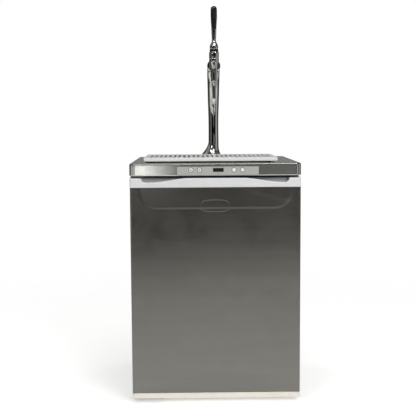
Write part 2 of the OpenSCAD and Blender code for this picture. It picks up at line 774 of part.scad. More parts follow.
module gas_bulkhead() {
  color("silver") difference() {
    union() {
      rod_y(bulk.x, bulk.y, liner_y1 - 9, rear_y + 6, bulk_r);
      for (y = [liner_y1 - liner_t - 6, rear_y])
        translate([bulk.x, y, bulk.y]) rotate([-90, 0, 0]) cylinder(h = 6, r = 13, $fn = 6);
      rod_y(bulk.x, bulk.y, liner_y1 - 22, liner_y1 - 9, 6);
      rod_y(bulk.x, bulk.y, rear_y + 6, rear_y + 30, 4);
    }
    rod_y(bulk.x, bulk.y, liner_y1 - 23, rear_y + 31, 2.5);
  }
}

// ---------- refrigeration ----------
module compressor() {
  color("black") difference() {
    union() {
      intersection() {
        rod_z(comp.x, comp.y, comp_z0 + 4, comp_top, comp_r);
        translate([comp.x, comp.y, 100]) sphere(104);
      }
      rod_z(comp.x, comp.y, 112, 118, comp_r + 3);
      block([comp.x - comp_plate.x, comp.y - comp_plate.y, comp_z0],
            [comp.x + comp_plate.x, comp.y + comp_plate.y, comp_z0 + 4.5]);
      block([comp.x + 60, comp.y - 30, 90], [comp.x + 92, comp.y + 30, 150]);
      translate([comp.x, comp.y + 20, 165]) rotate([0, 90, 0]) cylinder(h = 78, r = 4);
      translate([comp.x, comp.y, 165]) rotate([0, -90, 0]) cylinder(h = 78, r = 5.5);
    }
    comp_feet(comp_z0 - over, comp_z0 + 2 * over, comp_hole_r);
  }
}

module compressor_grommets() {
  color("black") {
    comp_feet(pan_z, comp_z0, 11);
    comp_feet(pan_z - 3, comp_z0 + 8, comp_hole_r - 0.1);
    comp_feet(comp_z0 + 4.6, comp_z0 + 7, 6.4);
  }
}

// Serpentine: straight runs joined by half turns at alternate ends, with wires across its back
module condenser() {
  last = cond_rows - 1;
  run = 2 * cond_half - cond_pitch;
  wires = 30;
  color("black") {
    for (i = [0 : last]) translate([-run / 2, cond_y, cond_z0 + i * cond_pitch])
      rotate([0, 90, 0]) cylinder(h = run, r = tube_r);
    for (i = [0 : last - 1])
      translate([(i % 2 == 0 ? 1 : -1) * run / 2, cond_y, cond_z0 + (i + 0.5) * cond_pitch])
        rotate([90, 0, 0]) rotate([0, 0, i % 2 == 0 ? -90 : 90])
          rotate_extrude(angle = 180) translate([cond_pitch / 2, 0]) circle(tube_r, $fn = 24);
    for (i = [0 : wires - 1])
      rod_z(-run / 2 + 10 + i * (run - 20) / (wires - 1), cond_y + tube_r + 1,
            cond_z0 - 15, cond_z0 + last * cond_pitch + 15, 0.8);
  }
}

discharge_route = [
  [-12, 205, 165], [2, 205, 165], [40, 212, 166], [110, 238, 172], [172, 266, 188], [214, 281, 215],
  [238, 283, 260], [242, 283, 330], [242, 283, 480], [242, 283, 620], [240, 283, 655], [230, 283, 670],
  [219, 283, 675], [210, 283, 675]];
liquid_route = [
  [-210, 283, 275], [-220, 283, 275], [-234, 283, 266], [-241, 282, 242], [-238, 270, 218],
  [-226, 246, 208], [-214, 228, 202], [-210, 222, 192], [-210, 222, 185]];
capillary_route = [
  [-210, 222, 95], [-210, 222, 84], [-202, 216, 72], [-186, 206, 72], [-177, 200, 88], [-176, 198, 140],
  [-176, 198, 200], [-176, 198, bay_z]];
suction_route = [
  [-168, 185, 165], [-178, 185, 165], [-192, 184, 170], [-199, 178, 188], [-200, 172, 212],
  [-200, 170, bay_z]];

// Copper lines of the cooling circuit, with the filter drier brazed in between
module refrigerant_lines() {
  color("peru") {
    pipe(smooth_path(discharge_route, 2), tube_r, 0, 8);
    pipe(smooth_path(liquid_route, 2), tube_r, 0, 8);
    pipe(smooth_path(capillary_route, 2), 1.4, 0, 8);
    pipe(smooth_path(suction_route, 2), 4, 0, 8);
    translate([-210, 222, 0]) rotate_extrude()
      polygon([[0, 95], [3, 95], [9, 107], [9, 173], [3, 185], [0, 185]]);
  }
}

module drain_tube() {
  color("lightgray") difference() {
    rod_z(drain.x, drain.y, comp_top + 12, step_z, drain_r);
    rod_z(drain.x, drain.y, comp_top + 11, step_z + 1, drain_r - 1.5);
  }
}

module condenser_brackets() {
  color("gray") for (x = [-1, 1], z = [cond_z0 + cond_pitch / 2, cond_z0 + 8.5 * cond_pitch]) {
    block([x * 212 - 10, rear_y, z - 32], [x * 212 + 10, rear_y + 2, z + 32]);
    block([x * 212 - 3, rear_y + 2, z - 26], [x * 212 + 3, cond_y - 2.7, z + 26]);
  }
}

// Pan that catches the defrost water and lets the compressor's warmth dry it
module condensate_pan() {
  color("dimgray") difference() {
    block([comp.x - 70, comp.y - 55, comp_top], [comp.x + 70, comp.y + 60, comp_top + 26]);
    block([comp.x - 68, comp.y - 53, comp_top + 2], [comp.x + 68, comp.y + 58, comp_top + 30]);
  }
}

module power_inlet() {
  color("black") difference() {
    union() {
      block([inlet_x - 27, rear_y - 26, pan_z], [inlet_x + 27, rear_y - 2, 62]);
      block([inlet_x - 33, rear_y - 2, pan_z], [inlet_x + 33, rear_y, 70]);
    }
    block([inlet_x - 13, rear_y - 18, 38], [inlet_x + 13, rear_y + 1, 56]);
  }
}

// ---------- door ----------
module door_plan(g, y1) {
  hull() {
    for (x = [-1, 1]) translate([x * (door_half - door_r), door_y + door_r]) circle(door_r - g, $fn = 32);
    translate([-door_half + g, y1 - 5]) square([2 * (door_half - g), 5]);
  }
}

module stadium(w, h) {
  hull() for (x = [-1, 1]) translate([x * (w - h) / 2, 0]) circle(d = h, $fn = 32);
}

module door_panel() {
  color("dimgray") {
    difference() {
      translate([0, 0, cap_z]) linear_extrude(handle_z - cap_z) door_plan(0, door_back_y - liner_sheet);
      translate([0, 0, cap_z - 1]) linear_extrude(handle_z - cap_z + 2)
        door_plan(door_wall, door_back_y + over);
    }
    translate([badge[0], door_y + 0.2, badge[1]]) rotate([90, 0, 0]) linear_extrude(1) difference() {
      stadium(badge_w, badge_h);
      stadium(badge_w - 2 * badge_bead, badge_h - 2 * badge_bead);
    }
  }
}

module plug_core(g, y0, y1) {
  block([g - plug_half, y0, plug_z[0] + g], [plug_half - g, y1, plug_z[1] - g]);
}

module door_foam() {
  color("khaki") {
    translate([0, 0, cap_z]) linear_extrude(handle_z - cap_z)
      door_plan(door_wall + 0.1, door_back_y - liner_sheet);
    plug_core(2.1, door_back_y - 3, door_back_y + plug_h - 2.1);
  }
}

module door_liner() {
  color("white") difference() {
    union() {
      block([-door_half + 1.5, door_back_y - liner_sheet, door_z0 + 6],
            [door_half - 1.5, door_back_y, door_z1 - 5]);
      plug_core(0, door_back_y - 1, door_back_y + plug_h);
    }
    plug_core(2, door_back_y - over, door_back_y + plug_h - 2);
  }
}

module gasket_box(g, y0, y1) {
  half = half_w - gasket_in - g;
  block([-half, y0, cap_z + g], [half, y1, door_z1 - 11 - g]);
}

module door_gasket() {
  y0 = door_back_y;
  y1 = face_y - 0.4;
  color("dimgray") difference() {
    gasket_box(0, y0, y1);
    gasket_box(gasket_w, y0 - 1, y1 + 1);
  }
}

// Scoop in the handle's front lip, on the right half
module lip_scoop() {
  polygon(concat(
    [[100, 5], [100, 0.5], [118, -1.6], [140, -4.5], [172, -9.5], [205, -13.6], [226, -15]],
    [for (a = [270 : 15 : 360]) [241 + 16 * cos(a), 1 + 16 * sin(a)]],
    [[257, 5]]));
}

module door_handle() {
  color("gainsboro") difference() {
    translate([0, 0, handle_z]) linear_extrude(door_z1 - handle_z) door_plan(0, door_back_y - liner_sheet);
    translate([0, 0, door_z1]) rotate([90, 0, 0]) for (s = [0, 1]) mirror([s, 0, 0])
      translate([0, 0, -door_y - 16]) linear_extrude(20) lip_scoop();
    for (s = [0, 1]) mirror([s, 0, 0])
      block([pocket_x[0], door_y + 8, handle_z + 8], [pocket_x[1], door_back_y - 12, door_z1 + 1]);
    rod_z(hinge_x, hinge_y, door_z1 - pin_grip - 3, door_z1 + 1, pin_r + running);
  }
}

module door_bottom_cap() {
  color("ivory") difference() {
    translate([0, 0, door_z0]) linear_extrude(cap_z - door_z0) door_plan(0, door_back_y - liner_sheet);
    rod_z(hinge_x, hinge_y, door_z0 - 1, door_z0 + pin_grip + 1, pin_r + running);
  }
}

// ---------- every part ----------
cabinet_wrap();
face_frame();
back_panel();
cabinet_foam();
inner_liner();
base_pan();
levelling_feet();
hinge_bracket_top();
hinge_bracket_bottom();
hinge_pins();
worktop();
worktop_frame();
control_panel();
display_window();
control_board();
control_housing();
button(button_x[0]);  // button_left_outer
button(button_x[1]);  // button_left_inner
button(button_x[2]);  // button_right_inner
button(button_x[3]);  // button_right_outer
drip_tray();
drip_grille();
tower_gasket();
tower_flange();
tower_neck();
tower_backing_plate();
tower_studs();
head_cap();
tap_shank();
shank_nut();
coupling_nut();
tap_body();
tap_spout();
tap_bonnet();
tap_piston();
lever_ball();
lever_dome();
lever_ferrule();
lever_grip();
line_conduit();
beer_line();
gas_line();
line_disconnects();
disconnect_clip();
gas_bulkhead();
evaporator_plate();
compressor();
compressor_grommets();
condenser();
condenser_brackets();
refrigerant_lines();
condensate_pan();
drain_tube();
power_inlet();
door_panel();
door_foam();
door_liner();
door_gasket();
door_handle();
door_bottom_cap();
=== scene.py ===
"""Kegerator: the looks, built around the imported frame. Metres, +Z up, the door faces -Y."""
import json
from math import cos, pi, radians, sin, sqrt

import bmesh
import bpy
from mathutils import Matrix, Vector, noise


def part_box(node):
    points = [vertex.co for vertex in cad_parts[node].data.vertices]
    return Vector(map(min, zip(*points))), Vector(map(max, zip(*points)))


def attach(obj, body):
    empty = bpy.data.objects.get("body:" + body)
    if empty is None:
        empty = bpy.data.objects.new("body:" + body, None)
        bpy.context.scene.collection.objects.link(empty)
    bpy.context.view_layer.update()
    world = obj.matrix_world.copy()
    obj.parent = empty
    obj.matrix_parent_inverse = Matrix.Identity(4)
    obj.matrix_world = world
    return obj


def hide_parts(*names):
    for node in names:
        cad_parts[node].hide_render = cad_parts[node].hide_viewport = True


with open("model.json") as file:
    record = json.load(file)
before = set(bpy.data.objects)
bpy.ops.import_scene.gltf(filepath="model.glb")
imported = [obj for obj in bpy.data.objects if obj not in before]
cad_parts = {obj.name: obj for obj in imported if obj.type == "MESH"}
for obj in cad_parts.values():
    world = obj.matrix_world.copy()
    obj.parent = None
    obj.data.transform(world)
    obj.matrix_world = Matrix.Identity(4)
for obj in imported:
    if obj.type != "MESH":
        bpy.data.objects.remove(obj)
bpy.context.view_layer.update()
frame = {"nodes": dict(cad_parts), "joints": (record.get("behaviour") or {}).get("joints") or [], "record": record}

MM = 0.001


# ---------- camera ----------
CAMERA_PLACE = Vector((-0.0776, -3.301, 0.990))
CAMERA_YAW = radians(0.98)
CAMERA_PITCH = radians(5.62)
CAMERA_ROLL = radians(-0.31)
CAMERA_LENS = 75.25


def add(name, data):
    """A new object in the scene."""
    made = bpy.data.objects.new(name, data)
    bpy.context.scene.collection.objects.link(made)
    return made


def make_camera():
    data = bpy.data.cameras.new("camera")
    data.lens = CAMERA_LENS
    camera = add("camera", data)
    level = cos(CAMERA_PITCH)
    ahead = Vector((sin(CAMERA_YAW) * level, cos(CAMERA_YAW) * level, -sin(CAMERA_PITCH)))
    right = Vector((cos(CAMERA_YAW), -sin(CAMERA_YAW), 0))
    up = right.cross(ahead)
    turned_right = right * cos(CAMERA_ROLL) + up * sin(CAMERA_ROLL)
    turned_up = up * cos(CAMERA_ROLL) - right * sin(CAMERA_ROLL)
    turn = Matrix((turned_right, turned_up, -ahead)).transposed()
    camera.matrix_world = Matrix.Translation(CAMERA_PLACE) @ turn.to_4x4()
    bpy.context.scene.camera = camera


# ---------- materials ----------
def set_sockets(node, sockets):
    """Sets input values by name. An underscore stands for a space."""
    for socket, value in sockets.items():
        node.inputs[socket.replace("_", " ")].default_value = value


class Graph:
    """A node tree, with helpers for the noise, ramps and blends of the materials and the room."""

    def __init__(self, tree, coordinates):
        self.tree = tree
        self.place = self.node("TexCoord").outputs[coordinates]

    def node(self, kind, **sockets):
        made = self.tree.nodes.new("ShaderNode" + kind)
        set_sockets(made, sockets)
        return made

    def wire(self, source, target):
        self.tree.links.new(source, target)

    def stretched(self, size):
        """The coordinates in units of size, which is (x, y, z)."""
        node = self.node("Mapping", Scale=[1 / s for s in size])
        self.wire(self.place, node.inputs["Vector"])
        return node.outputs["Vector"]

    def noise(self, size, detail=3.0, rough=0.5, distortion=0.0):
        node = self.node("TexNoise", Scale=1.0, Detail=detail, Roughness=rough, Distortion=distortion)
        self.wire(self.stretched(size if isinstance(size, tuple) else (size,) * 3), node.inputs["Vector"])
        return node.outputs["Fac"]

    def cells(self, size, randomness=1.0):
        node = self.node("TexVoronoi", Scale=1.0, Randomness=randomness)
        self.wire(self.stretched((size,) * 3), node.inputs["Vector"])
        return node

    def ramp(self, source, stops):
        """stops are (position, grey or colour) pairs."""
        node = self.node("ValToRGB")
        points = node.color_ramp.elements
        while len(points) < len(stops):
            points.new(0.5)
        for point, (position, tone) in zip(points, stops):
            point.position = position
            point.color = (*tone, 1) if isinstance(tone, tuple) else (tone, tone, tone, 1)
        self.wire(source, node.inputs["Fac"])
        return node.outputs["Color"]

    def blend(self, a, b, how="MULTIPLY", share=1.0):
        """a blended with b. share is a number or another node's output."""
        node = self.node("Mix")
        node.data_type = "RGBA"
        node.blend_type = how
        if isinstance(share, float):
            node.inputs[0].default_value = share
        else:
            self.wire(share, node.inputs[0])
        self.wire(a, node.inputs[6])
        self.wire(b, node.inputs[7])
        return node.outputs[2]

    def axes(self, source):
        node = self.node("SeparateXYZ")
        self.wire(source, node.inputs["Vector"])
        return node.outputs


class Finish(Graph):
    """A Principled material that its noise, ramps and bump give a grain."""

    def __init__(self, name, **sockets):
        self.name = name
        self.material = bpy.data.materials.new(name)
        self.material.use_nodes = True
        super().__init__(self.material.node_tree, "Object")
        self.shader = self.tree.nodes["Principled BSDF"]
        set_sockets(self.shader, sockets)
        self.normal = None

    def level_share(self):
        """How far a face looks up: 0 on upright faces, 1 on level ones."""
        return self.axes(self.node("TexCoord").outputs["Normal"])["Z"]

    def colour(self, source):
        self.wire(source, self.shader.inputs["Base Color"])

    def roughness(self, source):
        self.wire(source, self.shader.inputs["Roughness"])

    def bump(self, source, depth, strength=1.0):
        node = self.node("Bump", Strength=strength, Distance=depth)
        self.wire(source, node.inputs["Height"])
        if self.normal:
            self.wire(self.normal, node.inputs["Normal"])
        self.normal = node.outputs["Normal"]
        self.wire(self.normal, self.shader.inputs["Normal"])


FINE_GRAIN = 0.00003


def tint(colour, factor):
    return tuple(min(1, c * factor) for c in colour)


def brushed_steel(name, colour, rough, grain, upright=1.0):
    """Steel brushed along X, smudged and a little wavy, with painted reflection: faint horizontal bands darken its
    colour. Upright faces can have a finer polish.
    """
    f = Finish(name, Metallic=1.0, Specular_IOR_Level=0.5)
    streaks = f.noise((grain, 0.02, 0.0007), detail=4, rough=0.65)
    painted_reflection_bands = f.noise((0.6, 0.3, 0.035), detail=2)
    smudge = f.noise(0.07, detail=5, rough=0.6, distortion=0.4)
    tone = f.ramp(streaks, [(0.3, tint(colour, 0.90)), (0.7, tint(colour, 1.06))])
    # Painted reflection: horizontal bands that darken the colour a little, standing in for reflected bands of the
    # room.
    shade = f.ramp(painted_reflection_bands, [(0.3, 0.93), (0.7, 1.0)])
    f.colour(f.blend(tone, shade))
    blur = f.ramp(streaks, [(0.25, rough * 0.85), (0.75, rough * 1.2)])
    smeared = f.blend(blur, f.ramp(smudge, [(0.42, 1.0), (0.68, 0.78)]))
    f.roughness(f.blend(smeared, f.ramp(f.level_share(), [(0.4, upright), (0.9, 1.0)])))
    f.bump(streaks, FINE_GRAIN, 0.35)
    f.bump(f.noise((0.55, 0.30, 0.10), detail=1), 0.0002)
    return f


def tray_sheet():
    """Bright brushed steel with a near-white base, and painted shade: the faces that lie level are coloured
    darker, so the overhead light doesn't make them brighter than the upright front.
    """
    f = Finish("tray_steel", Metallic=0.08)
    streaks = f.noise((0.05, 0.02, 0.0007), detail=4, rough=0.65)
    # Painted shade: the colour runs from near white on upright faces to grey on level ones, to hold back the light
    # that falls on the top.
    level = f.ramp(f.level_share(), [(0.4, (0.98, 0.98, 0.97)), (0.9, (0.62, 0.62, 0.61))])
    f.colour(f.blend(level, f.ramp(streaks, [(0.3, 0.94), (0.7, 1.0)])))
    f.roughness(f.ramp(streaks, [(0.25, 0.29), (0.75, 0.41)]))
    f.bump(streaks, FINE_GRAIN, 0.35)
    return f


def plain_metal(name, colour, rough, mottled=0.12, size=0.02):
    """Metal with a clouded surface, for plated, cast or drawn parts."""
    f = Finish(name, Metallic=1.0)
    cloud = f.noise(size, detail=5, rough=0.6, distortion=0.3)
    fine = f.noise(size / 12, detail=3)
    f.colour(f.ramp(cloud, [(0.3, tint(colour, 1 - mottled)), (0.7, tint(colour, 1 + mottled * 0.5))]))
    f.roughness(f.ramp(cloud, [(0.3, rough * 0.75), (0.7, rough * 1.35)]))
    f.bump(fine, 0.00002)
    return f


def chrome_plate():
    """Bright plate with wiped smudges and a few dried drops."""
    f = Finish("chrome", Metallic=1.0)
    wiped = f.noise((0.012, 0.012, 0.05), detail=4, rough=0.6)
    drops = f.cells(0.009).outputs["Distance"]
    f.colour(f.ramp(wiped, [(0.3, (0.70, 0.70, 0.66)), (0.7, (0.80, 0.80, 0.77))]))
    haze = f.ramp(wiped, [(0.35, 0.035), (0.75, 0.12)])
    f.roughness(f.blend(haze, f.ramp(drops, [(0.05, 1.0), (0.09, 0.55)]), "ADD", 0.02))
    f.bump(f.noise(0.03, detail=1), 0.00010, 0.35)
    return f


def zinc_sheet(name, colour):
    """Hot-dipped sheet, with its spangle."""
    f = Finish(name, Metallic=0.85)
    spangle = f.cells(0.011).outputs["Color"]
    grey = f.node("RGBToBW")
    f.wire(spangle, grey.inputs["Color"])
    dust = f.noise(0.08, detail=5, rough=0.6)
    tone = f.ramp(grey.outputs["Val"], [(0.1, tint(colour, 0.86)), (0.9, tint(colour, 1.1))])
    f.colour(f.blend(tone, f.ramp(dust, [(0.35, 0.86), (0.7, 1.0)])))
    f.roughness(f.ramp(grey.outputs["Val"], [(0.0, 0.38), (1.0, 0.56)]))
    f.bump(f.noise(0.004, detail=2), FINE_GRAIN)
    return f


def coated_sheet(name, colour, rough=0.42):
    """Painted sheet with the fine orange peel of a powder coat, rubbed duller in places."""
    f = Finish(name, Coat_Weight=0.15, Coat_Roughness=0.3)
    peel = f.noise(0.0022, detail=2, rough=0.45)
    rubbed = f.noise((0.15, 0.15, 0.3), detail=5, rough=0.6)
    f.colour(f.ramp(rubbed, [(0.3, tint(colour, 0.94)), (0.7, tint(colour, 1.04))]))
    f.roughness(f.ramp(rubbed, [(0.35, rough * 0.9), (0.7, rough * 1.2)]))
    f.bump(peel, 0.00006, 0.6)
    return f


def moulded(name, colour, rough, grain=0.0009, depth=0.00004, sheen=0.0, metallic=0.0, handled=1.0):
    """Moulded plastic or rubber: a fine spark-eroded grain, faint flow clouds and handling marks."""
    f = Finish(name, Metallic=metallic, Sheen_Weight=sheen)
    cloud = f.noise(0.05, detail=4, rough=0.55, distortion=0.2)
    texture = f.noise(grain, detail=2, rough=0.5)
    marks = f.noise((0.05, 0.02, 0.008), detail=5, rough=0.65)
    f.colour(f.ramp(cloud, [(0.3, tint(colour, 0.97)), (0.7, tint(colour, 1.03))]))
    f.roughness(f.ramp(marks, [(0.35, rough * (1 - 0.12 * handled)), (0.7, rough * (1 + 0.15 * handled))]))
    f.bump(texture, depth, 0.7)
    return f


def lacquered(name, colour, rough):
    """Gloss lacquer, with fine wipe marks in its coat."""
    f = Finish(name, Coat_Weight=1.0, Coat_Roughness=0.04, IOR=1.5)
    wiped = f.noise((0.004, 0.004, 0.02), detail=5, rough=0.6)
    f.colour(f.ramp(wiped, [(0.3, tint(colour, 0.8)), (0.75, tint(colour, 1.6))]))
    f.roughness(f.ramp(wiped, [(0.35, rough), (0.7, rough * 2.4)]))
    f.bump(f.noise(0.012, detail=1), 0.00008, 0.3)
    return f


def rigid_foam():
    f = Finish("foam", Roughness=0.9)
    bubbles = f.cells(0.0025)
    aged = f.noise(0.06, detail=5, rough=0.6)
    f.colour(f.ramp(aged, [(0.3, (0.60, 0.46, 0.22)), (0.7, (0.80, 0.68, 0.42))]))
    f.bump(bubbles.outputs["Distance"], 0.0008)
    return f


def pressed_wood():
    f = Finish("core_board", Roughness=0.8)
    chips = f.cells(0.006)
    grain = f.noise((0.02, 0.004, 0.004), detail=5, rough=0.6)
    tone = f.ramp(grain, [(0.3, (0.012, 0.011, 0.010)), (0.7, (0.030, 0.026, 0.022))])
    f.colour(f.blend(tone, chips.outputs["Color"], "SOFT_LIGHT", 0.4))
    f.bump(chips.outputs["Distance"], 0.0005)
    return f


def circuit_board():
    f = Finish("circuit_board", Coat_Weight=0.4, Roughness=0.4)
    tracks = f.cells(0.004, randomness=0.2)
    f.colour(f.ramp(tracks.outputs["Distance"], [(0.30, (0.02, 0.16, 0.07)), (0.42, (0.01, 0.09, 0.04))]))
    f.bump(tracks.outputs["Distance"], 0.00005)
    return f


def hose(name, colour, through):
    """Soft hose, a little see-through, with drawing lines along it."""
    f = Finish(name, Transmission_Weight=through, Roughness=0.22, IOR=1.42)
    lines = f.noise((0.002, 0.002, 0.03), detail=3)
    f.colour(f.ramp(lines, [(0.3, tint(colour, 0.9)), (0.7, tint(colour, 1.05))]))
    f.bump(lines, 0.00004, 0.5)
    return f


MATERIALS = {finish.name: finish.material for finish in (
    # Painted shade: the door's steel has about a third of the worktop steel's colour, so it mirrors the room
    # darker.
    brushed_steel("steel_door", (0.200, 0.195, 0.177), 0.21, 0.25),
    brushed_steel("steel_worktop", (0.66, 0.655, 0.62), 0.22, 0.12, upright=0.55),
    tray_sheet(),
    chrome_plate(),
    coated_sheet("cabinet_paint", (0.30, 0.30, 0.285)),
    coated_sheet("compressor_black", (0.018, 0.018, 0.018), rough=0.34),
    coated_sheet("condenser_black", (0.016, 0.016, 0.017), rough=0.45),
    zinc_sheet("zinc_sheet", (0.50, 0.51, 0.52)),
    plain_metal("zinc_steel", (0.60, 0.60, 0.58), 0.34),
    plain_metal("alu_plate", (0.72, 0.72, 0.73), 0.42, size=0.05),
    plain_metal("brass", (0.70, 0.50, 0.22), 0.28, size=0.01),
    plain_metal("copper", (0.44, 0.21, 0.12), 0.40, mottled=0.3, size=0.03),
    rigid_foam(),
    pressed_wood(),
    circuit_board(),
    moulded("liner_plastic", (0.80, 0.81, 0.80), 0.36, 0.0015, FINE_GRAIN, handled=0.2),
    moulded("white_plastic", (0.80, 0.80, 0.77), 0.36),
    moulded("handle_plastic", (0.80, 0.81, 0.815), 0.36, grain=0.0006, metallic=0.25),
    moulded("cap_plastic", (0.76, 0.71, 0.63), 0.40),
    moulded("panel_silver", (0.50, 0.50, 0.475), 0.38, grain=0.0005, metallic=0.3),
    moulded("button_silver", (0.84, 0.84, 0.80), 0.30, metallic=0.1),
    moulded("black_plastic", (0.022, 0.022, 0.023), 0.50),
    moulded("black_rubber", (0.02, 0.02, 0.02), 0.72, depth=0.0001, sheen=0.2),
    moulded("gasket_rubber", (0.055, 0.055, 0.056), 0.62, depth=0.00008, sheen=0.25),
    lacquered("display_lens", (0.004, 0.004, 0.005), 0.06),
    lacquered("collar_black", (0.008, 0.008, 0.008), 0.14),
    lacquered("grip_black", (0.006, 0.006, 0.0065), 0.18),
    hose("beer_hose", (0.86, 0.87, 0.80), 0.35),
    hose("gas_hose", (0.55, 0.03, 0.02), 0.1),
)}


WELD_REACH = 1e-5
SOFT_EDGES = (("drip_grille", 0.5), ("cabinet_wrap", 0.5), ("levelling_feet", 0.8),
              ("hinge_bracket_bottom", 0.8), ("hinge_bracket_top", 0.8), ("condensate_pan", 0.7),
              ("power_inlet", 1.0), ("condenser_brackets", 0.5), ("line_disconnects", 0.7),
              ("disconnect_clip", 0.7))


def dress_cad_nodes():
    """Gives each carried-over node the material of its slot, and rounds pipes and sharp edges."""
    for part in frame["record"]["subparts"]:
        node = frame["nodes"][part["node"]]
        node.data.materials.clear()
        node.data.materials.append(MATERIALS[part["material_slot"]])
    for name in ("beer_line", "gas_line", "refrigerant_lines", "drain_tube"):
        rounder = welded(name).modifiers.new("rounder", "SUBSURF")
        rounder.levels = 2
        rounder.render_levels = 2
    for name, width in SOFT_EDGES:
        bevel = welded(name).modifiers.new("bevel", "BEVEL")
        bevel.width = width * MM
        bevel.segments = 2
        bevel.limit_method = "ANGLE"
        bevel.angle_limit = radians(40)
        bevel.harden_normals = False


def welded(name):
    """A CAD node with a modifier that joins its split corners. Its mesh stays as it is."""
    node = frame["nodes"][name]
    node.modifiers.new("weld", "WELD").merge_threshold = WELD_REACH
    return node


# ---------- mesh helpers ----------
def smoothstep(t):
    t = min(max(t, 0), 1)
    return t * t * (3 - 2 * t)


def spread(start, end, count):
    """Even steps from start to end, both included."""
    return [start + (end - start) * i / (count - 1) for i in range(count)]


def angles(count):
    """A full turn in even steps."""
    return [2 * pi * k / count for k in range(count)]


def scaled(pairs, base=0.0):
    """(radius, height) pairs from millimetres to metres, with the heights counted from base."""
    return [(r * MM, base + h * MM) for r, h in pairs]


def box_corners(node):
    return [Vector(c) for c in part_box(node)]


def smooth_corners(points, radius, steps=4, closed=False):
    """The outline with each corner turned into a short curve. radius is one number, or one for each point."""
    reach = radius if isinstance(radius, list) else [radius] * len(points)
    curve = []
    for i, point in enumerate(points):
        corner = Vector(point)
        if not closed and i in (0, len(points) - 1):
            curve.append(corner)
            continue
        before = Vector(points[i - 1]) - corner
        after = Vector(points[(i + 1) % len(points)]) - corner
        cut = min(reach[i], 0.45 * before.length, 0.45 * after.length)
        start = corner + before.normalized() * cut
        end = corner + after.normalized() * cut
        for t in spread(0, 1, steps + 1):
            curve.append(start * (1 - t) ** 2 + corner * 2 * t * (1 - t) + end * t * t)
    return curve


def loft(rings, closed=False, caps=True, open_rings=False):
    """(vertices, faces) through rings of equal length."""
    n = len(rings[0])
    vertices = [p for ring in rings for p in ring]
    faces = []
    last = len(rings) if closed else len(rings) - 1
    for i in range(last):
        j = (i + 1) % len(rings)
        for k in range(n - 1 if open_rings else n):
            faces.append((i * n + k, i * n + (k + 1) % n, j * n + (k + 1) % n, j * n + k))
    if caps and not closed:
        faces.append(tuple(range(n)))
        faces.append(tuple((len(rings) - 1) * n + k for k in range(n)))
    return vertices, faces


def lathe(profile, centre, axis="Z", corner=0.0006, turns=96, bored=False):
    """Turned shell. profile is (radius, height) pairs, and a bored one is a closed outline."""
    rings = []
    for r, h in smooth_corners(profile, corner, closed=bored):
        ring = []
        for a in angles(turns):
            place = (r * cos(a), r * sin(a), h) if axis == "Z" else (r * cos(a), h, r * sin(a))
            ring.append(Vector(centre) + Vector(place))
        rings.append(ring)
    return loft(rings, closed=bored)


def block(low, high, corner):
    """A box with rounded edges."""
    mesh = bmesh.new()
    bmesh.ops.create_cube(mesh, size=1)
    low, high = Vector(low), Vector(high)
    for v in mesh.verts:
        v.co = Vector(((high[i] + low[i]) / 2 + v.co[i] * (high[i] - low[i]) for i in range(3)))
    bmesh.ops.bevel(mesh, geom=mesh.edges[:], offset=corner, segments=3, affect="EDGES", profile=0.5)
    mesh.verts.index_update()
    shell = [v.co.copy() for v in mesh.verts], [tuple(v.index for v in f.verts) for f in mesh.faces]
    mesh.free()
    return shell


def rounded_rectangle(x0, x1, y0, y1, radius, inset):
    """(x, y) points, drawn in by inset. A point beside each corner keeps the sides flat when shaded."""
    x0, x1, y0, y1, radius = x0 + inset, x1 - inset, y0 + inset, y1 - inset, max(radius - inset, 0.4 * MM)
    beside = min(1.5 * MM, 0.2 * min(x1 - x0, y1 - y0))
    centres = ((x1 - radius, y1 - radius, 0), (x0 + radius, y1 - radius, 90),
               (x0 + radius, y0 + radius, 180), (x1 - radius, y0 + radius, 270))
    ring = []
    for cx, cy, first in centres:
        start, end = radians(first), radians(first + 90)
        ring.append((cx + radius * cos(start) + beside * sin(start),
                     cy + radius * sin(start) - beside * cos(start)))
        ring += [(cx + radius * cos(a), cy + radius * sin(a)) for a in spread(start, end, 7)]
        ring.append((cx + radius * cos(end) - beside * sin(end), cy + radius * sin(end) + beside * cos(end)))
    return ring


def flat_ring(x0, x1, y0, y1, radius, z, inset=0.0):
    """A level rounded rectangle at height z."""
    return [Vector((x, y, z)) for x, y in rounded_rectangle(x0, x1, y0, y1, radius, inset)]


def upright_ring(x0, x1, z0, z1, radius, y, inset=0.0):
    """A rounded rectangle that stands facing the door's side, at depth y."""
    return [Vector((x, y, z)) for x, z in rounded_rectangle(x0, x1, z0, z1, radius, inset)]


def piece(name, shells, slot, body, stands_for=(), sharp=32):
    """One object from its shells, in the material of its slot, riding on its body."""
    mesh = bpy.data.meshes.new(name)
    vertices, faces = [], []
    for shell_vertices, shell_faces in shells:
        start = len(vertices)
        vertices += shell_vertices
        faces += [tuple(start + i for i in face) for face in shell_faces]
    mesh.from_pydata(vertices, [], faces)
    tidy = bmesh.new()
    tidy.from_mesh(mesh)
    bmesh.ops.remove_doubles(tidy, verts=tidy.verts, dist=2e-6)
    bmesh.ops.recalc_face_normals(tidy, faces=tidy.faces)
    tidy.to_mesh(mesh)
    tidy.free()
    mesh.shade_smooth()
    mesh.set_sharp_from_angle(angle=radians(sharp))
    mesh.materials.append(MATERIALS[slot])
    made = add(name, mesh)
    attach(made, body)
    if stands_for:
        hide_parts(*stands_for)
    return made


def thicken(made, thickness, offset):
    sheet = made.modifiers.new("sheet", "SOLIDIFY")
    sheet.thickness = thickness
    sheet.offset = offset


def middle(node):
    low, high = box_corners(node)
    return (low + high) / 2


# ---------- places taken from the frame ----------
LID_LOW, LID_HIGH = box_corners("worktop")
TOP = LID_HIGH.z
TAP = middle("tap_spout")
HEAD = middle("head_cap")
HEAD_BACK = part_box("head_cap")[1][1]
FLANGE = middle("tower_flange")
BALL = Vector(next(j["pos_m"] for j in frame["joints"] if j["name"] == "lever_pull"))


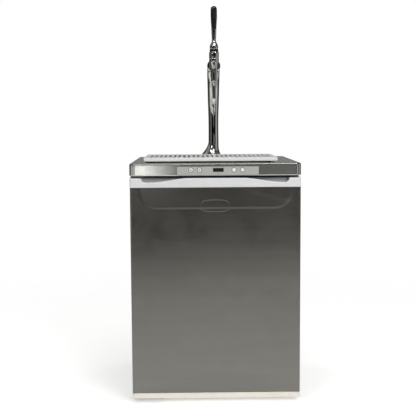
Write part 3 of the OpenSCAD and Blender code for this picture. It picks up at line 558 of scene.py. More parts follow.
# ---------- worktop ----------
def worktop_skin():
    """Folded sheet: a flat top, a rolled edge, an apron and a hem turned under it."""
    roll, hem, corner, sheet, beside = 6.5 * MM, 3 * MM, 18 * MM, 1.2 * MM, 0.4 * MM
    box = (LID_LOW.x, LID_HIGH.x, LID_LOW.y, LID_HIGH.y)

    def shell(inset):
        outline = [(LID_LOW.z + hem - (hem - inset) * sin(a), hem + (hem - inset) * cos(a))
                   for a in spread(0, pi, 9)]
        outline += [(LID_LOW.z + hem + beside, inset), (TOP - roll - beside, inset)]
        outline += [(TOP - roll + (roll - inset) * sin(a), inset + (roll - inset) * (1 - cos(a)))
                    for a in spread(0, pi / 2, 13)]
        return [flat_ring(*box, corner, z, drawn_in) for z, drawn_in in outline]

    piece("worktop_skin", [loft(shell(sheet)[::-1] + shell(0))], "steel_worktop", "cabinet", ["worktop"])


# ---------- drip tray ----------
def tray_pan():
    low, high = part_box("drip_tray")
    foot, wall, foot_place, corner = 4 * MM, 1.5 * MM, 30 * MM, 3.5 * MM
    box = (low[0], high[0], low[1], high[1])
    floor = low[2] + foot
    rim = high[2]
    profile = [(4 * MM, floor + wall), (wall, floor + 5 * MM), (wall, rim - 1 * MM), (wall / 2, rim),
               (0, rim - 1 * MM), (0, floor + 3 * MM), (1.2 * MM, floor + 0.6 * MM), (4 * MM, floor)]
    rings = [flat_ring(*box, corner, z, inset) for inset, z in smooth_corners(profile, 1.2 * MM, 3)]
    piece("tray_pan", [loft(rings)], "tray_steel", "tray", ["drip_tray"])
    feet = []
    for x in (low[0] + foot_place, high[0] - foot_place):
        for y in (low[1] + foot_place, high[1] - foot_place):
            feet.append(lathe([(7.5 * MM, 0), (9 * MM, 0.8 * MM), (9 * MM, foot)], (x, y, low[2])))
    piece("tray_feet", feet, "black_rubber", "tray")


# ---------- tower ----------
# Millimetres: each pair is a height over the worktop and the value there.
NECK_HALF_WIDTH = [(6, 45), (12, 39.5), (19, 35), (27, 30), (39, 24.7), (51, 21.4), (63, 20), (150, 19.7),
                   (229, 22), (287, 23.2), (334, 24.6), (390, 25)]
NECK_HALF_DEPTH = [(6, 44), (12, 38.5), (19, 34), (27, 29.5), (39, 25), (51, 22.4), (63, 21.2), (150, 21),
                   (229, 23), (287, 24.4), (334, 25), (390, 25)]
NECK_LEAN = [(6, 0), (40, 1), (100, 6), (160, 8), (200, 7), (229, 3.5), (262, -3), (291, -10)]
NECK_FOOT = [6, 7, 8.5, 10, 12, 14, 16.5, 19, 22, 25, 28, 32, 36, 40, 45, 50, 56, 63]
NECK_SHIFT = 60
ELBOW, ELBOW_RUN, ELBOW_TO_HEAD = 64 * MM, 100, 10 * MM


def lookup(table, at):
    """Smooth curve through a table of (place, value) pairs."""
    if at <= table[0][0]:
        return table[0][1]
    for i in range(len(table) - 1):
        (a, va), (b, vb) = table[i], table[i + 1]
        if at <= b:
            before = table[max(i - 1, 0)]
            after = table[min(i + 2, len(table) - 1)]
            slope_a = (vb - before[1]) / (b - before[0])
            slope_b = (after[1] - va) / (after[0] - a)
            t = (at - a) / (b - a)
            h = b - a
            return (va * (2 * t ** 3 - 3 * t * t + 1) + slope_a * h * (t ** 3 - 2 * t * t + t)
                    + vb * (3 * t * t - 2 * t ** 3) + slope_b * h * (t ** 3 - t * t))
    return table[-1][1]


def tower_neck_skin():
    """Swan neck: a flared foot, a leaning column and an elbow that ends at the head."""
    bend_z = HEAD.z - ELBOW
    rings = []

    def ring(centre, width, depth, tilt):
        width, depth = width * MM, depth * MM
        rings.append([centre + Vector((width * cos(a), depth * sin(a) * cos(tilt),
                                       depth * sin(a) * sin(tilt))) for a in angles(72)])

    def neck_ring(z, centre, tilt):
        ring(centre, lookup(NECK_HALF_WIDTH, z), lookup(NECK_HALF_DEPTH, z), tilt)

    for z in NECK_FOOT + spread(70, 270, 26):
        x = FLANGE.x + (TAP.x - FLANGE.x) * smoothstep((z - NECK_FOOT[0]) / NECK_SHIFT)
        neck_ring(z, Vector((x, FLANGE.y + lookup(NECK_LEAN, z) * MM, TOP + z * MM)), 0)
    for a, run in zip(spread(0, pi / 2, 25), spread(0, ELBOW_RUN, 25)):
        centre = Vector((TAP.x, HEAD_BACK + ELBOW_TO_HEAD + ELBOW * cos(a), bend_z + ELBOW * sin(a)))
        neck_ring((bend_z - TOP) / MM + run, centre, a)
    for y, radius in ((6, 25), (2, 25), (0.6, 25), (0, 24.4)):
        ring(Vector((TAP.x, HEAD_BACK + y * MM, HEAD.z)), radius, radius, pi / 2)
    piece("tower_neck_skin", [loft(rings)], "chrome", "cabinet", ["tower_neck"], sharp=50)


def tower_foot():
    place = (FLANGE.x, FLANGE.y, TOP + 1 * MM)
    flange = scaled([(46, 0), (48, 0.6), (48, 3.2), (46.6, 5), (40, 5)])
    piece("tower_flange_ring", [lathe(flange, place, corner=0.9 * MM)], "chrome", "cabinet", ["tower_flange"])
    seal = scaled([(46.6, -1), (47, -0.5), (46.6, 0)])
    piece("tower_seal", [lathe(seal, place, corner=0.2 * MM)], "black_rubber", "cabinet", ["tower_gasket"])


# ---------- tap ----------
def tap():
    axis = (TAP.x, TAP.y, 0)

    def turned(name, profile, slot, body, node, corner, height, bored=False):
        shell = lathe(scaled(profile, height), axis, corner=corner * MM, bored=bored)
        piece(name, [shell], slot, body, [node])

    upright = scaled([(6, 292), (10, 292), (12.2, 293.6), (12.6, 305), (13.4, 325), (14.6, 343), (16.2, 356),
                      (17.8, 366), (18.5, 373), (18.5, 377.4), (17.6, 379.5), (6, 379.5)], TOP)
    end = (HEAD_BACK - 19 * MM - TAP.y) / MM
    shoulder = (HEAD_BACK - 21 * MM - TAP.y) / MM
    level = scaled([(6, 0), (13.4, 0), (13.4, shoulder), (12.4, end), (6, end)])
    piece("tap_barrel", [lathe(upright, axis, corner=2.4 * MM),
                         lathe(level, (TAP.x, TAP.y, HEAD.z), axis="Y", corner=0.8 * MM)],
          "chrome", "cabinet", ["tap_body"])

    nozzle = [(4.6, 228), (6.1, 228), (6.7, 229), (6.9, 236), (7.5, 257), (8.3, 278), (9.4, 289), (9.8, 292),
              (4.6, 292)]
    turned("tap_nozzle", nozzle, "chrome", "cabinet", "tap_spout", 1.2, TOP, bored=True)
    bonnet_ring()
    ball = [(16.6 * cos(radians(a)), 16.6 * sin(radians(a))) for a in range(-45, 28, 6)]
    dome = [(12, 7.5), (15.4, 7.5), (16.2, 8.4), (16.2, 12), (15.5, 17.5), (13.9, 23), (11.6, 28), (9.4, 32),
            (8.2, 34.6), (7.8, 36)]
    ferrule = [(7.6, 36), (8.5, 36.4), (8.7, 38), (8.5, 39.6), (7.7, 40.6), (8, 45), (8.7, 56), (9.2, 68),
               (9.5, 76.5), (9.3, 79)]
    for name, profile, slot, corner in (("lever_ball", ball, "collar_black", 0.4),
                                        ("lever_dome", dome, "chrome", 2.0),
                                        ("lever_ferrule", ferrule, "chrome", 0.9)):
        turned(name + "_skin", profile, slot, "tap_lever", name, corner, BALL.z)
    lever_grip_skin()


def bonnet_ring():
    """Eight-sided nut with turned-down corners, and the socket round the ball."""
    low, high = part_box("tap_bonnet")
    flats, turns, side = 18.5 * MM, 96, pi / 4

    def ring(z, round_radius):
        points = []
        for k in range(turns):
            a = 2 * pi * (k + 0.5) / turns
            to_flat = flats / cos((a + side / 2) % side - side / 2)
            r = min(to_flat, round_radius)
            points.append(Vector((TAP.x + r * cos(a), TAP.y + r * sin(a), z)))
        return points

    outer = [(low[2], 18.4), (low[2] + 0.5 * MM, 18.9), (low[2] + 1.8 * MM, 19.7), (high[2] - 5.5 * MM, 19.7),
             (high[2] - 4 * MM, 19.3), (high[2] - 0.8 * MM, 18.0), (high[2], 17.6)]
    rings = [ring(z, r * MM) for z, r in outer]
    for r, z in ((16.95, high[2]), (16.7, high[2] - 1 * MM), (15, high[2] - 3 * MM)):
        rings.append(ring(z, r * MM))
    piece("bonnet_nut", [loft(rings)], "chrome", "cabinet", ["tap_bonnet"], sharp=20)


def lever_grip_skin():
    """Lacquered grip, round at its ferrule and flattened front to back above."""
    profile = [(79, 9.5), (81, 9.7), (88, 9.8), (98, 10.4), (110, 11.2), (120, 11.8), (132, 12), (144, 12),
               (152, 11.9), (157, 11.4), (161, 10), (164, 7.6), (165.8, 4.8), (166.6, 1.6)]
    rings = []
    for h in spread(profile[0][0], profile[-1][0], 70):
        r = lookup(profile, h) * MM
        flat = 1 - 0.24 * smoothstep((h - 80) / 22)
        rings.append([BALL + Vector((r * cos(a), r * flat * sin(a), h * MM)) for a in angles(64)])
    piece("grip_skin", [loft(rings)], "grip_black", "tap_lever", ["lever_grip"], sharp=60)


def head_fittings():
    """The head's end cap and the fluted ring nut that holds the tap."""
    back = HEAD_BACK
    place = (HEAD.x, 0, HEAD.z)
    cap = scaled([(10.9, -5), (22.5, -5), (25, -3.6), (25.5, -2), (25.5, -0.6), (25, 0), (10.9, 0)], back)
    piece("head_cap_skin", [lathe(cap, place, "Y", 0.8 * MM, bored=True)], "chrome", "cabinet", ["head_cap"])
    flutes, bore = 12, 10.9
    rings = []
    outline = [(-5, bore), (-5, 16.2), (-5.8, 17), (-16.4, 17), (-18.2, 15.6), (-19, 14.4), (-19, bore)]
    for y, r in outline:
        ring = []
        for a in angles(144):
            flute = max(0.0, cos(flutes * a) - 0.55) / 0.45
            depth = 1.2 * sqrt(flute) if r > bore else 0
            across = (r - depth) * MM
            ring.append(Vector((HEAD.x + across * cos(a), back + y * MM, HEAD.z + across * sin(a))))
        rings.append(ring)
    piece("ring_nut", [loft(rings, closed=True)], "chrome", "cabinet", ["coupling_nut"])


# ---------- controls ----------
KEY_MARKS = {"button_left_outer": 1, "button_left_inner": -1, "button_right_inner": 0,
             "button_right_outer": 0}


def button_caps():
    """Domed key tops, and an up and a down mark on the two left ones."""
    size = 3.3 * MM
    dome = [(0.4, 0.05), (2.5, 0.1), (4.6, 0.35), (6.0, 0.8), (6.9, 1.6), (7.2, 2.6), (7.2, 5.2), (8.2, 5.4),
            (8.2, 6.3), (0.4, 6.3)]
    for node, mark in KEY_MARKS.items():
        low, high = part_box(node)
        x, z = (low[0] + high[0]) / 2, (low[2] + high[2]) / 2
        front = low[1]
        shell = lathe(scaled(dome, front), (x, 0, z), "Y", 0.5 * MM, 64)
        piece(node + "_cap", [shell], "button_silver", node, [node])
        if mark:
            base = z - mark * size * 0.6
            outline = [Vector((x - size, 0, base)), Vector((x + size, 0, base)),
                       Vector((x, 0, z + mark * size * 0.9))]
            rings = [[p + Vector((0, front + y * MM, 0)) for p in outline] for y in (0.0, 0.35)]
            piece(node + "_mark", [loft(rings)], "black_plastic", node)


def panel_rings():
    """Dark joint round the control plate, and a fine bezel round each key."""
    low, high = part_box("control_panel")
    front, back, wide = low[1] + 0.4 * MM, high[1] + 0.6 * MM, -0.9 * MM
    joint = [upright_ring(low[0], high[0], low[2], high[2], 1.5 * MM, y, inset)
             for y, inset in ((front, 0), (front, wide), (back, wide), (back, 0))]
    piece("panel_joint", [loft(joint, closed=True)], "black_plastic", "cabinet")
    bezels = []
    outline = scaled([(7.45, 0.6), (7.5, -0.3), (7.9, -0.5), (8.5, -0.4), (8.7, 0.6)], low[1])
    for node in KEY_MARKS:
        centre = middle(node)
        bezels.append(lathe(outline, (centre.x, 0, centre.z), "Y", 0.2 * MM, 64, bored=True))
    piece("key_bezels", bezels, "black_plastic", "cabinet")


# ---------- door ----------
DOOR_LOW, DOOR_HIGH = box_corners("door_panel")
DOOR_EDGE = 7 * MM
PANEL_DETAIL = 130 * MM
SWELL_HALF, SWELL_BELOW, SWELL_CORNER, SWELL_EDGE = 266 * MM, 72 * MM, 60 * MM, 11 * MM
CREASE_BELOW, CREASE_SLOPE, CREASE_PIVOT, CREASE_WIDE = 4 * MM, 0.28, 90 * MM, 22 * MM
CREASE_FROM, CREASE_FADE, SIDE_FADE = 30 * MM, 80 * MM, 30 * MM
RELIEF, SWELL_RISE, CREASE_RISE, RIPPLE = 0.90, 0.45, 0.38, 0.10


def door_relief(x, z):
    """How far the door skin stands back from its front plane: a pressed swelling round the badge."""
    over_x = max(0, abs(x) - SWELL_HALF + SWELL_CORNER)
    over_z = max(0, DOOR_HIGH.z - SWELL_BELOW + SWELL_CORNER - z)
    inside = 1 - smoothstep((sqrt(over_x ** 2 + over_z ** 2) - SWELL_CORNER) / SWELL_EDGE + 0.5)
    crease = DOOR_HIGH.z - CREASE_BELOW - CREASE_SLOPE * (x - CREASE_PIVOT)
    above = smoothstep((z - crease) / CREASE_WIDE + 0.5) * smoothstep((x - CREASE_FROM) / CREASE_FADE)
    ripple = noise.noise(Vector((x * 3.5, 0.3, z * 9.0)))
    fade = smoothstep((DOOR_HIGH.x - abs(x)) / SIDE_FADE)
    return (RELIEF - SWELL_RISE * inside - CREASE_RISE * above * inside + RIPPLE * ripple) * fade * MM


def door_skin():
    inset = 0.8 * MM
    half = DOOR_HIGH.x - inset
    front = DOOR_LOW.y
    plan = [(-half, DOOR_HIGH.y), (-half, front + DOOR_EDGE)]
    plan += [(-half + DOOR_EDGE * (1 - cos(a)), front + DOOR_EDGE * (1 - sin(a)))
             for a in spread(0.15, pi / 2, 8)]
    plan += [(x, front) for x in spread(-half + DOOR_EDGE, half - DOOR_EDGE, 150)[1:-1]]
    plan += [(-x, y) for x, y in plan[9::-1]]
    pressed_from = DOOR_HIGH.z - PANEL_DETAIL
    rings = []
    for z in spread(DOOR_LOW.z, pressed_from, 90)[:-1] + spread(pressed_from, DOOR_HIGH.z, 90):
        rings.append([Vector((x, y + (door_relief(x, z) if y < front + 0.1 * MM else 0), z))
                      for x, y in plan])
    sheet = loft(rings, caps=False, open_rings=True)
    thicken(piece("door_skin", [sheet], "steel_door", "door", ["door_panel"]), 1 * MM, -1)


def badge_ring():
    """Plain raised oval, pressed in the door skin."""
    centre = Vector((-1.5 * MM, DOOR_LOW.y, DOOR_HIGH.z - 62.5 * MM))
    wide, tall, bead, squareness = 52.5 * MM, 23 * MM, 2.6 * MM, 0.62
    behind = Vector((0, 1.9 * MM, 0))
    rings = []
    for a in angles(120):
        x = wide * abs(cos(a)) ** squareness * (1 if cos(a) >= 0 else -1)
        z = tall * abs(sin(a)) ** squareness * (1 if sin(a) >= 0 else -1)
        outer = Vector((x, 0, z))
        inner = Vector((x * (1 - bead * 2 / wide), 0, z * (1 - bead * 2 / tall)))
        back = door_relief(centre.x + x, centre.z + z)
        ring = []
        for t in spread(0, 1, 9):
            rise = sin(pi * t) * 0.8 * MM
            ring.append(centre + outer.lerp(inner, t) + Vector((0, back + 0.3 * MM - rise, 0)))
        rings.append(ring + [centre + inner + behind, centre + outer + behind])
    piece("door_badge_ring", [loft(rings, closed=True)], "steel_door", "door", sharp=60)


def handle_skin():
    """Moulded top rail of the door, with a scooped finger pocket at each side."""
    low, high = box_corners("door_handle")
    top, bottom, half = high.z, low.z, high.x
    lip, deep, dip = 7 * MM, 11 * MM, 15 * MM
    dip_from, dip_to, rise_from, rise_to = 96, 226, 241, 257
    pocket_from, pocket_ramp, pocket_curve, pocket_end = 108, 26, 236, 256

    def lip_top(x):
        x = abs(x) / MM
        if x < dip_to:
            return top - dip * smoothstep((x - dip_from) / (dip_to - dip_from))
        if x < rise_from:
            return top - dip
        if x < rise_to:
            return top + 1 * MM - sqrt((rise_to - rise_from) ** 2 - (x - rise_from) ** 2) * MM
        return top

    def pocket_floor(x):
        x = abs(x) / MM
        depth = top - bottom - 8 * MM
        if x < pocket_curve:
            return top - depth * smoothstep((x - pocket_from) / pocket_ramp)
        if x < pocket_end:
            return top - depth * sqrt(max(0, 1 - ((x - pocket_curve) / (pocket_end - pocket_curve)) ** 2))
        return top

    def section(x):
        beyond = max(0, abs(x) - (half - DOOR_EDGE))
        front = low.y + DOOR_EDGE - sqrt(max(0, DOOR_EDGE ** 2 - beyond ** 2))
        crest = min(lip_top(x), top)
        floor = min(pocket_floor(x), crest)
        back = high.y - deep + 2 * MM
        outline = [(front + 0.6 * MM, bottom), (front, bottom + 1.5 * MM), (front, crest - 7 * MM),
                   (front + 2.2 * MM, crest - 0.8 * MM), (front + lip, crest),
                   (front + lip + 0.6 * MM, floor), (back, floor), (back, top), (high.y, top),
                   (high.y, bottom)]
        return [Vector((x, p[0], p[1])) for p in smooth_corners(outline, 3 * MM, 4, closed=True)]

    stations = spread(0, 96, 10) + spread(100, 140, 17) + spread(146, 222, 14) + spread(226, 258, 26)
    stations += spread(264, 288, 4) + [290.5 + 7 * sin(a) for a in spread(0.1, pi / 2, 7)]
    stations = [min(s * MM, half) for s in stations]
    places = [-s for s in stations[:0:-1]] + stations
    shell = loft([section(x) for x in places])
    piece("handle_skin", [shell], "handle_plastic", "door", ["door_handle"], sharp=40)


def bottom_cap():
    low, high = box_corners("door_bottom_cap")
    box = (low.x, high.x, low.y, high.y)
    profile = [(2 * MM, low.z), (0.6 * MM, low.z + 0.5 * MM), (0, low.z + 2 * MM), (0, high.z - 6 * MM),
               (0.3 * MM, high.z - 2 * MM), (1.2 * MM, high.z - 0.2 * MM), (3 * MM, high.z)]
    rings = [flat_ring(*box, 9 * MM, z, inset) for inset, z in smooth_corners(profile, 2 * MM, 3)]
    piece("bottom_cap", [loft(rings)], "cap_plastic", "door", ["door_bottom_cap"])


def door_inside():
    """Vacuum-formed inner door with its raised plug, the foam in it and the folded seal round it."""
    low, high = box_corners("door_liner")
    seal_low, seal_high = box_corners("door_gasket")
    back = seal_low.y
    half, bottom, above = 238 * MM, 84 * MM, 52 * MM
    curve, rim, dish = 22 * MM, 8 * MM, 50 * MM
    top = high.z - above

    def plug(y, inset=0.0, radius=curve):
        return upright_ring(-half, half, bottom, top, radius, y, inset)

    def edge(y, inset=0.0):
        return upright_ring(low.x, high.x, low.z, high.z, 6 * MM, y, inset)

    rings = [edge(low.y), edge(back - 0.5 * MM), edge(back, 1 * MM), plug(back, -6 * MM),
             plug(back + 1 * MM, -1.5 * MM), plug(back + 5 * MM)]
    rings += [plug(high.y - rim + rim * sin(a), rim * (1 - cos(a))) for a in spread(0, pi / 2, 7)[1:]]
    floor = high.y - 1.3 * MM
    for inset, y in smooth_corners([(40 * MM, high.y), (44 * MM, floor), (60 * MM, floor)], 2 * MM, 4):
        rings.append(plug(y, inset, dish))
    piece("door_inner_skin", [loft(rings)], "liner_plastic", "door", ["door_liner"])

    front, side, joint = DOOR_LOW.y + 3 * MM, DOOR_HIGH.x - 1.5 * MM, low.y - 0.1 * MM

    def slab(y, inset=0.0):
        return upright_ring(-side, side, DOOR_LOW.z, DOOR_HIGH.z, 6 * MM, y, inset)

    core = [slab(front, 5 * MM), slab(front + 5 * MM), slab(joint), plug(joint, 3 * MM),
            plug(high.y - 12 * MM, 3 * MM), plug(high.y - 6 * MM, 9 * MM)]
    piece("door_core", [loft(core)], "foam", "door", ["door_foam"])

    rear = seal_high.y
    fold = [(0, back), (0, back + 3 * MM), (1.5 * MM, back + 6 * MM), (0, back + 9 * MM), (1 * MM, rear),
            (13 * MM, rear), (14 * MM, back + 10 * MM), (11 * MM, back + 7.5 * MM), (14 * MM, back + 5 * MM),
            (13 * MM, back)]
    box = (seal_low.x, seal_high.x, seal_low.z, seal_high.z)
    seal = [upright_ring(*box, 12 * MM, y, inset)
            for inset, y in smooth_corners(fold, 1.6 * MM, 3, closed=True)]
    piece("door_seal", [loft(seal, closed=True)], "gasket_rubber", "door", ["door_gasket"])


# ---------- cabinet ----------
WRAP_LOW, WRAP_HIGH = box_corners("cabinet_wrap")
LINER_LOW, LINER_HIGH = box_corners("inner_liner")
LINER_WALL = 2 * MM
STEP_FRONT, STEP_TOP = 72 * MM, 262 * MM
BAY_DEPTH = 122 * MM
RUNNER_HEIGHTS = (0.40, 0.52)
RUNNER_FRONT, RUNNER_BACK, RUNNER_THICK, RUNNER_DEEP = -0.20, 0.19, 0.012, 5 * MM


def inner_skin():
    """Vacuum-formed cavity with rounded corners and the step over the compressor."""
    low, high, wall = LINER_LOW, LINER_HIGH, LINER_WALL
    half, back = high.x - wall, high.y - wall
    corner, step_corner = 16 * MM, 6.5 * MM

    def outline(inset):
        floor, roof, rear = low.z + wall + inset, high.z - wall - inset, back - inset
        step_y, step_z = STEP_FRONT - wall - inset, STEP_TOP + wall + inset
        points = [(low.y, floor), (step_y, floor), (step_y, step_z), (rear, step_z), (rear, roof),
                  (low.y, roof)]
        return smooth_corners(points, [corner, corner, step_corner, corner, corner, corner], 6)

    rings = [(-half + corner * (1 - cos(a)), corner * (1 - sin(a))) for a in spread(0, pi / 2, 7)]
    rings += [(x, 0) for x in spread(-half + corner, half - corner, 6)[1:-1]]
    rings += [(-x, inset) for x, inset in rings[6::-1]]
    shell = loft([[Vector((x, p[0], p[1])) for p in outline(inset)] for x, inset in rings], open_rings=True)
    thicken(piece("inner_skin", [shell], "liner_plastic", "cabinet", ["inner_liner"]), wall, 1)
    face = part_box("face_frame")[0][1]
    opening = (-half, half, low.z + wall, high.z - wall)
    lip = [(0, 4 * MM), (0, 0.5 * MM), (-1 * MM, -0.2 * MM), (-9 * MM, -0.2 * MM), (-10 * MM, 0.4 * MM)]
    rings = [upright_ring(*opening, 4 * MM, face + y, inset) for inset, y in smooth_corners(lip, 0.8 * MM, 3)]
    piece("cavity_lip", [loft(rings, caps=False)], "liner_plastic", "cabinet")


def cavity_fittings():
    """A collar where the conduit enters the cavity, and the runners on its side walls."""
    low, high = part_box("line_conduit")
    place = ((low[0] + high[0]) / 2, (low[1] + high[1]) / 2, 0)
    collar = scaled([(13.6, 0.2), (13.6, -2.4), (14.4, -3), (21, -3), (23.4, -1.6), (24, 0.2)], low[2])
    shell = lathe(collar, place, corner=0.8 * MM, bored=True)
    piece("conduit_collar", [shell], "white_plastic", "cabinet")
    ribs = []
    for side in (-1, 1):
        wall = side * (LINER_HIGH.x - LINER_WALL)
        inward = wall - side * RUNNER_DEEP
        for z in RUNNER_HEIGHTS:
            ribs.append(block((min(wall, inward), RUNNER_FRONT, z),
                              (max(wall, inward), RUNNER_BACK, z + RUNNER_THICK), 2.4 * MM))
    piece("cavity_runners", ribs, "liner_plastic", "cabinet")


def bay_lining():
    """Folded sheet over the foam round the compressor."""
    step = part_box("back_panel")[0][2]
    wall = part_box("inner_liner")[1][1] - BAY_DEPTH
    half, rear, foot = WRAP_HIGH.x - 2 * MM, WRAP_HIGH.y - 4 * MM, WRAP_LOW.z + 0.2 * MM
    sheet = 0.8 * MM
    outline = [(wall, foot), (wall, step), (rear, step), (rear, step - sheet), (wall + sheet, step - sheet),
               (wall + sheet, foot)]
    rings = [[Vector((x, y, z)) for y, z in outline] for x in (-half, half)]
    piece("bay_lining", [loft(rings)], "zinc_sheet", "cabinet")


def compressor_skin():
    """Welded steel shell with its seam, feet, terminal cover and stubs."""
    low, high = box_corners("compressor")
    centre = middle("compressor_grommets")
    shell = scaled([(58, 48), (66, 51), (69.4, 60), (70, 75), (70, 111), (73, 111.6), (73, 118),
                    (69.6, 118.6), (69.4, 150), (68, 166), (64.5, 178), (59, 185.5), (52, high.z / MM)])
    cover_low = (centre.x + 60 * MM, centre.y - 30 * MM, 90 * MM)
    cover_high = (centre.x + 92 * MM, centre.y + 30 * MM, 150 * MM)
    parts = [lathe(shell, (centre.x, centre.y, 0), corner=3 * MM),
             block(low, (centre.x * 2 - low.x, high.y, low.z + 4.5 * MM), 1.4 * MM),
             block(cover_low, cover_high, 4 * MM)]
    stub_z = 165 * MM
    for side, y, stub in ((1, centre.y + 20 * MM, 4 * MM), (-1, centre.y, 5.5 * MM)):
        rings = []
        for reach, share in ((60, 1), (76.5, 1), (77.6, 0.97), (78, 0.9)):
            x, r = centre.x + side * reach * MM, stub * share
            rings.append([Vector((x, y + r * cos(a), stub_z + r * sin(a))) for a in angles(32)])
        parts.append(loft(rings))
    piece("compressor_shell", parts, "compressor_black", "cabinet", ["compressor"])


def screw_heads():
    """Pan-head screws along the top and the bottom of the back panel."""
    low, high = box_corners("back_panel")
    dome = scaled([(1.2, 2.1), (2.4, 1.9), (3.4, 1.3), (3.9, 0.5), (4.0, -0.3)], high.y)
    heads = [lathe(dome, (x, 0, z), "Y", 0.3 * MM, 32) for x in spread(low.x + 14 * MM, high.x - 14 * MM, 5)
             for z in (low.z + 10 * MM, high.z - 12 * MM)]
    piece("back_screws", heads, "zinc_steel", "cabinet")


# ---------- stage ----------
FLOOR_REACH = 5.0
FLOOR_GLOW = 0.35
FLOOR_SEEN = ((0.10, 1.0), (0.20, 0.85), (0.34, 0.30), (0.50, 0.0))
FLOOR_MIRRORED = ((0.10, 1.0), (0.28, 0.80), (0.62, 0.62), (0.92, 0.0))
ROOM_TONES = ((0.0, (0.05, 0.05, 0.046)), (0.44, (0.014, 0.0145, 0.012)), (0.52, (0.010, 0.0105, 0.0085)),
              (0.62, (0.02, 0.02, 0.018)), (0.70, (0.08, 0.08, 0.075)), (0.78, (0.24, 0.24, 0.23)),
              (1.0, (0.34, 0.34, 0.33)))
ROOM_PATCHES = (0.3125, 0.3125, 0.625)
PATCH_TONES = ((0.40, 0.10), (0.47, 0.35), (0.60, 1.0))
DEPTH_TONES = ((0.30, 0.25), (0.65, 1.0))
ROOM_STRENGTH = 2.2
AIM = (0, 0, 0.8)
# Name, place, target, size and power. The rows with False light the scene but aren't mirrored in the steel.
LIGHTS = (
    ("overhead", (0.2, -0.4, 3.3), (0, 0, 0.5), (2.6, 2.0), 34, False),
    ("front_left", (-2.1, -3.4, 2.6), AIM, (1.5, 1.0), 30, False),
    ("front_right", (1.6, -4.0, 2.4), AIM, (1.5, 1.0), 56, False),
    ("front_glint", (1.6, -4.0, 2.4), AIM, (1.5, 1.0), 9),
    ("high_glint_right", (1.2, -2.2, 3.1), (0, 0, 1.1), (0.5, 0.35), 9),
    ("high_glint_left", (-1.3, -2.4, 2.9), (0, 0, 1.1), (0.4, 0.30), 5),
    ("roll_strip", (0.2, -1.5, 3.2), (0, -0.3, 0.88), (2.4, 0.35), 12),
    ("floor_wash", (1.0, -4.3, 1.4), (1.0, -4.3, 0), (1.6, 1.4), 14, False),
    ("left_strip", (-2.4, -1.2, 1.1), AIM, (0.30, 2.2), 0.6),
    ("left_wall", (-3.2, -0.8, 1.1), (0, -0.8, 1.1), (3.6, 2.2), 1.8),
    ("right_strip", (2.3, -0.7, 1.1), AIM, (0.45, 2.0), 1.0),
    ("right_wall", (3.2, -0.8, 1.1), (0, -0.8, 1.1), (3.6, 2.2), 5.5),
    ("rear_wall", (0, 3.5, 1.2), (0, 0, 1.2), (5.0, 1.6), 6.5),
    ("front_wall", (0.30, -7.0, 0.7), (0.30, 0, 0.7), (2.0, 1.5), 1.6),
    ("front_card", (-0.60, -5.6, 0.53), (-0.60, 0, 0.53), (0.10, 0.40), 0.33),
    ("front_sliver", (-0.45, -5.6, 0.53), (-0.45, 0, 0.53), (0.045, 0.40), 0.16),
    ("low_card", (1.1, -7.0, 0.08), (1.1, 0, 0.08), (1.8, 0.4), 2.6),
    ("corner_card", (-2.0, -4.6, 0.37), (0, 0, 0.37), (1.5, 0.7), 2.6),
    ("corner_side", (-3.0, -2.6, 0.37), (0, 0, 0.37), (1.6, 0.7), 2.1),
    ("corner_wall", (-3.0, -1.0, 0.37), (0, -1.0, 0.37), (2.0, 0.7), 1.3),
    ("corner_right", (2.2, -3.6, 0.37), (0, 0, 0.37), (0.5, 0.7), 1.6),
    ("front_high", (1.5, -7.0, 2.8), AIM, (5.0, 1.6), 3.0),
    ("front_glow", (-0.62, -6.2, 0.53), (-0.62, 0, 0.53), (0.6, 0.45), 0.26),
    ("rear_left", (-1.7, 2.2, 2.2), AIM, (1.2, 0.9), 14, False),
    ("rear_right", (1.8, 2.0, 2.3), AIM, (1.2, 0.9), 12, False),
)


def area_light(name, place, target, size, power, mirrored=True):
    data = bpy.data.lights.new(name, "AREA")
    data.shape = "RECTANGLE"
    data.size, data.size_y = size
    data.energy = power
    light = add(name, data)
    light.location = place
    light.rotation_euler = (Vector(target) - Vector(place)).to_track_quat("-Z", "Y").to_euler()
    light.visible_camera = False
    light.visible_glossy = mirrored


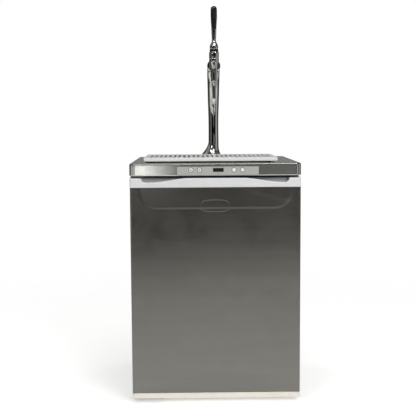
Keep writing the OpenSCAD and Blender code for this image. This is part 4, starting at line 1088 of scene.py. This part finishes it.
def stage_floor():
    """A pale floor that fades out, sooner for the camera than in the steel."""
    floor = Finish("stage_floor", Roughness=0.8, Emission_Color=(1, 1, 1, 1), Emission_Strength=FLOOR_GLOW)
    floor.colour(floor.ramp(floor.noise(0.8), [(0.3, (0.90, 0.90, 0.895)), (0.7, (0.92, 0.92, 0.915))]))
    far = floor.node("VectorMath")
    far.operation = "LENGTH"
    floor.wire(floor.stretched((FLOOR_REACH,) * 3), far.inputs[0])
    seen, mirrored = (floor.ramp(far.outputs["Value"], stops) for stops in (FLOOR_SEEN, FLOOR_MIRRORED))
    camera_ray = floor.node("LightPath").outputs["Is Camera Ray"]
    floor.wire(floor.blend(mirrored, seen, "MIX", camera_ray), floor.shader.inputs["Alpha"])
    mesh = bpy.data.meshes.new("stage_floor")
    corners = [Vector((x * FLOOR_REACH, y * FLOOR_REACH, 0)) for x, y in ((-1, -1), (1, -1), (1, 1), (-1, 1))]
    mesh.from_pydata(corners, [], [(0, 1, 2, 3)])
    mesh.materials.append(floor.material)
    add("stage_floor", mesh)


def studio_room():
    """White for the camera, and a dark room with lighter patches for the steel to mirror."""
    world = bpy.data.worlds.new("studio")
    world.use_nodes = True
    bpy.context.scene.world = world
    room = Graph(world.node_tree, "Generated")
    backdrop = room.tree.nodes["Background"]
    set_sockets(backdrop, {"Color": (1, 1, 1, 1), "Strength": 1.0})
    facing = room.axes(room.place)

    def tones(axis, stops):
        share = room.node("MapRange", From_Min=-1)
        room.wire(facing[axis], share.inputs["Value"])
        return room.ramp(share.outputs["Result"], stops)

    patches = room.ramp(room.noise(ROOM_PATCHES, detail=2.0, distortion=0.4), PATCH_TONES)
    patchy = room.blend(tones("Z", ROOM_TONES), patches)
    walls = room.node("Background", Strength=ROOM_STRENGTH)
    room.wire(room.blend(patchy, tones("Y", DEPTH_TONES)), walls.inputs["Color"])
    split = room.node("MixShader")
    room.wire(room.node("LightPath").outputs["Is Camera Ray"], split.inputs["Fac"])
    room.wire(walls.outputs["Background"], split.inputs[1])
    room.wire(backdrop.outputs["Background"], split.inputs[2])
    room.wire(split.outputs["Shader"], room.tree.nodes["World Output"].inputs["Surface"])


# ---------- build ----------
make_camera()
dress_cad_nodes()
for build in (worktop_skin, tray_pan, tower_neck_skin, tower_foot, tap, head_fittings, button_caps,
              panel_rings, door_skin, badge_ring, handle_skin, bottom_cap, door_inside, inner_skin,
              cavity_fittings, bay_lining, compressor_skin, screw_heads):
    build()
bpy.context.scene.view_settings.view_transform = "Standard"
stage_floor()
studio_room()
for light in LIGHTS:
    area_light(*light)
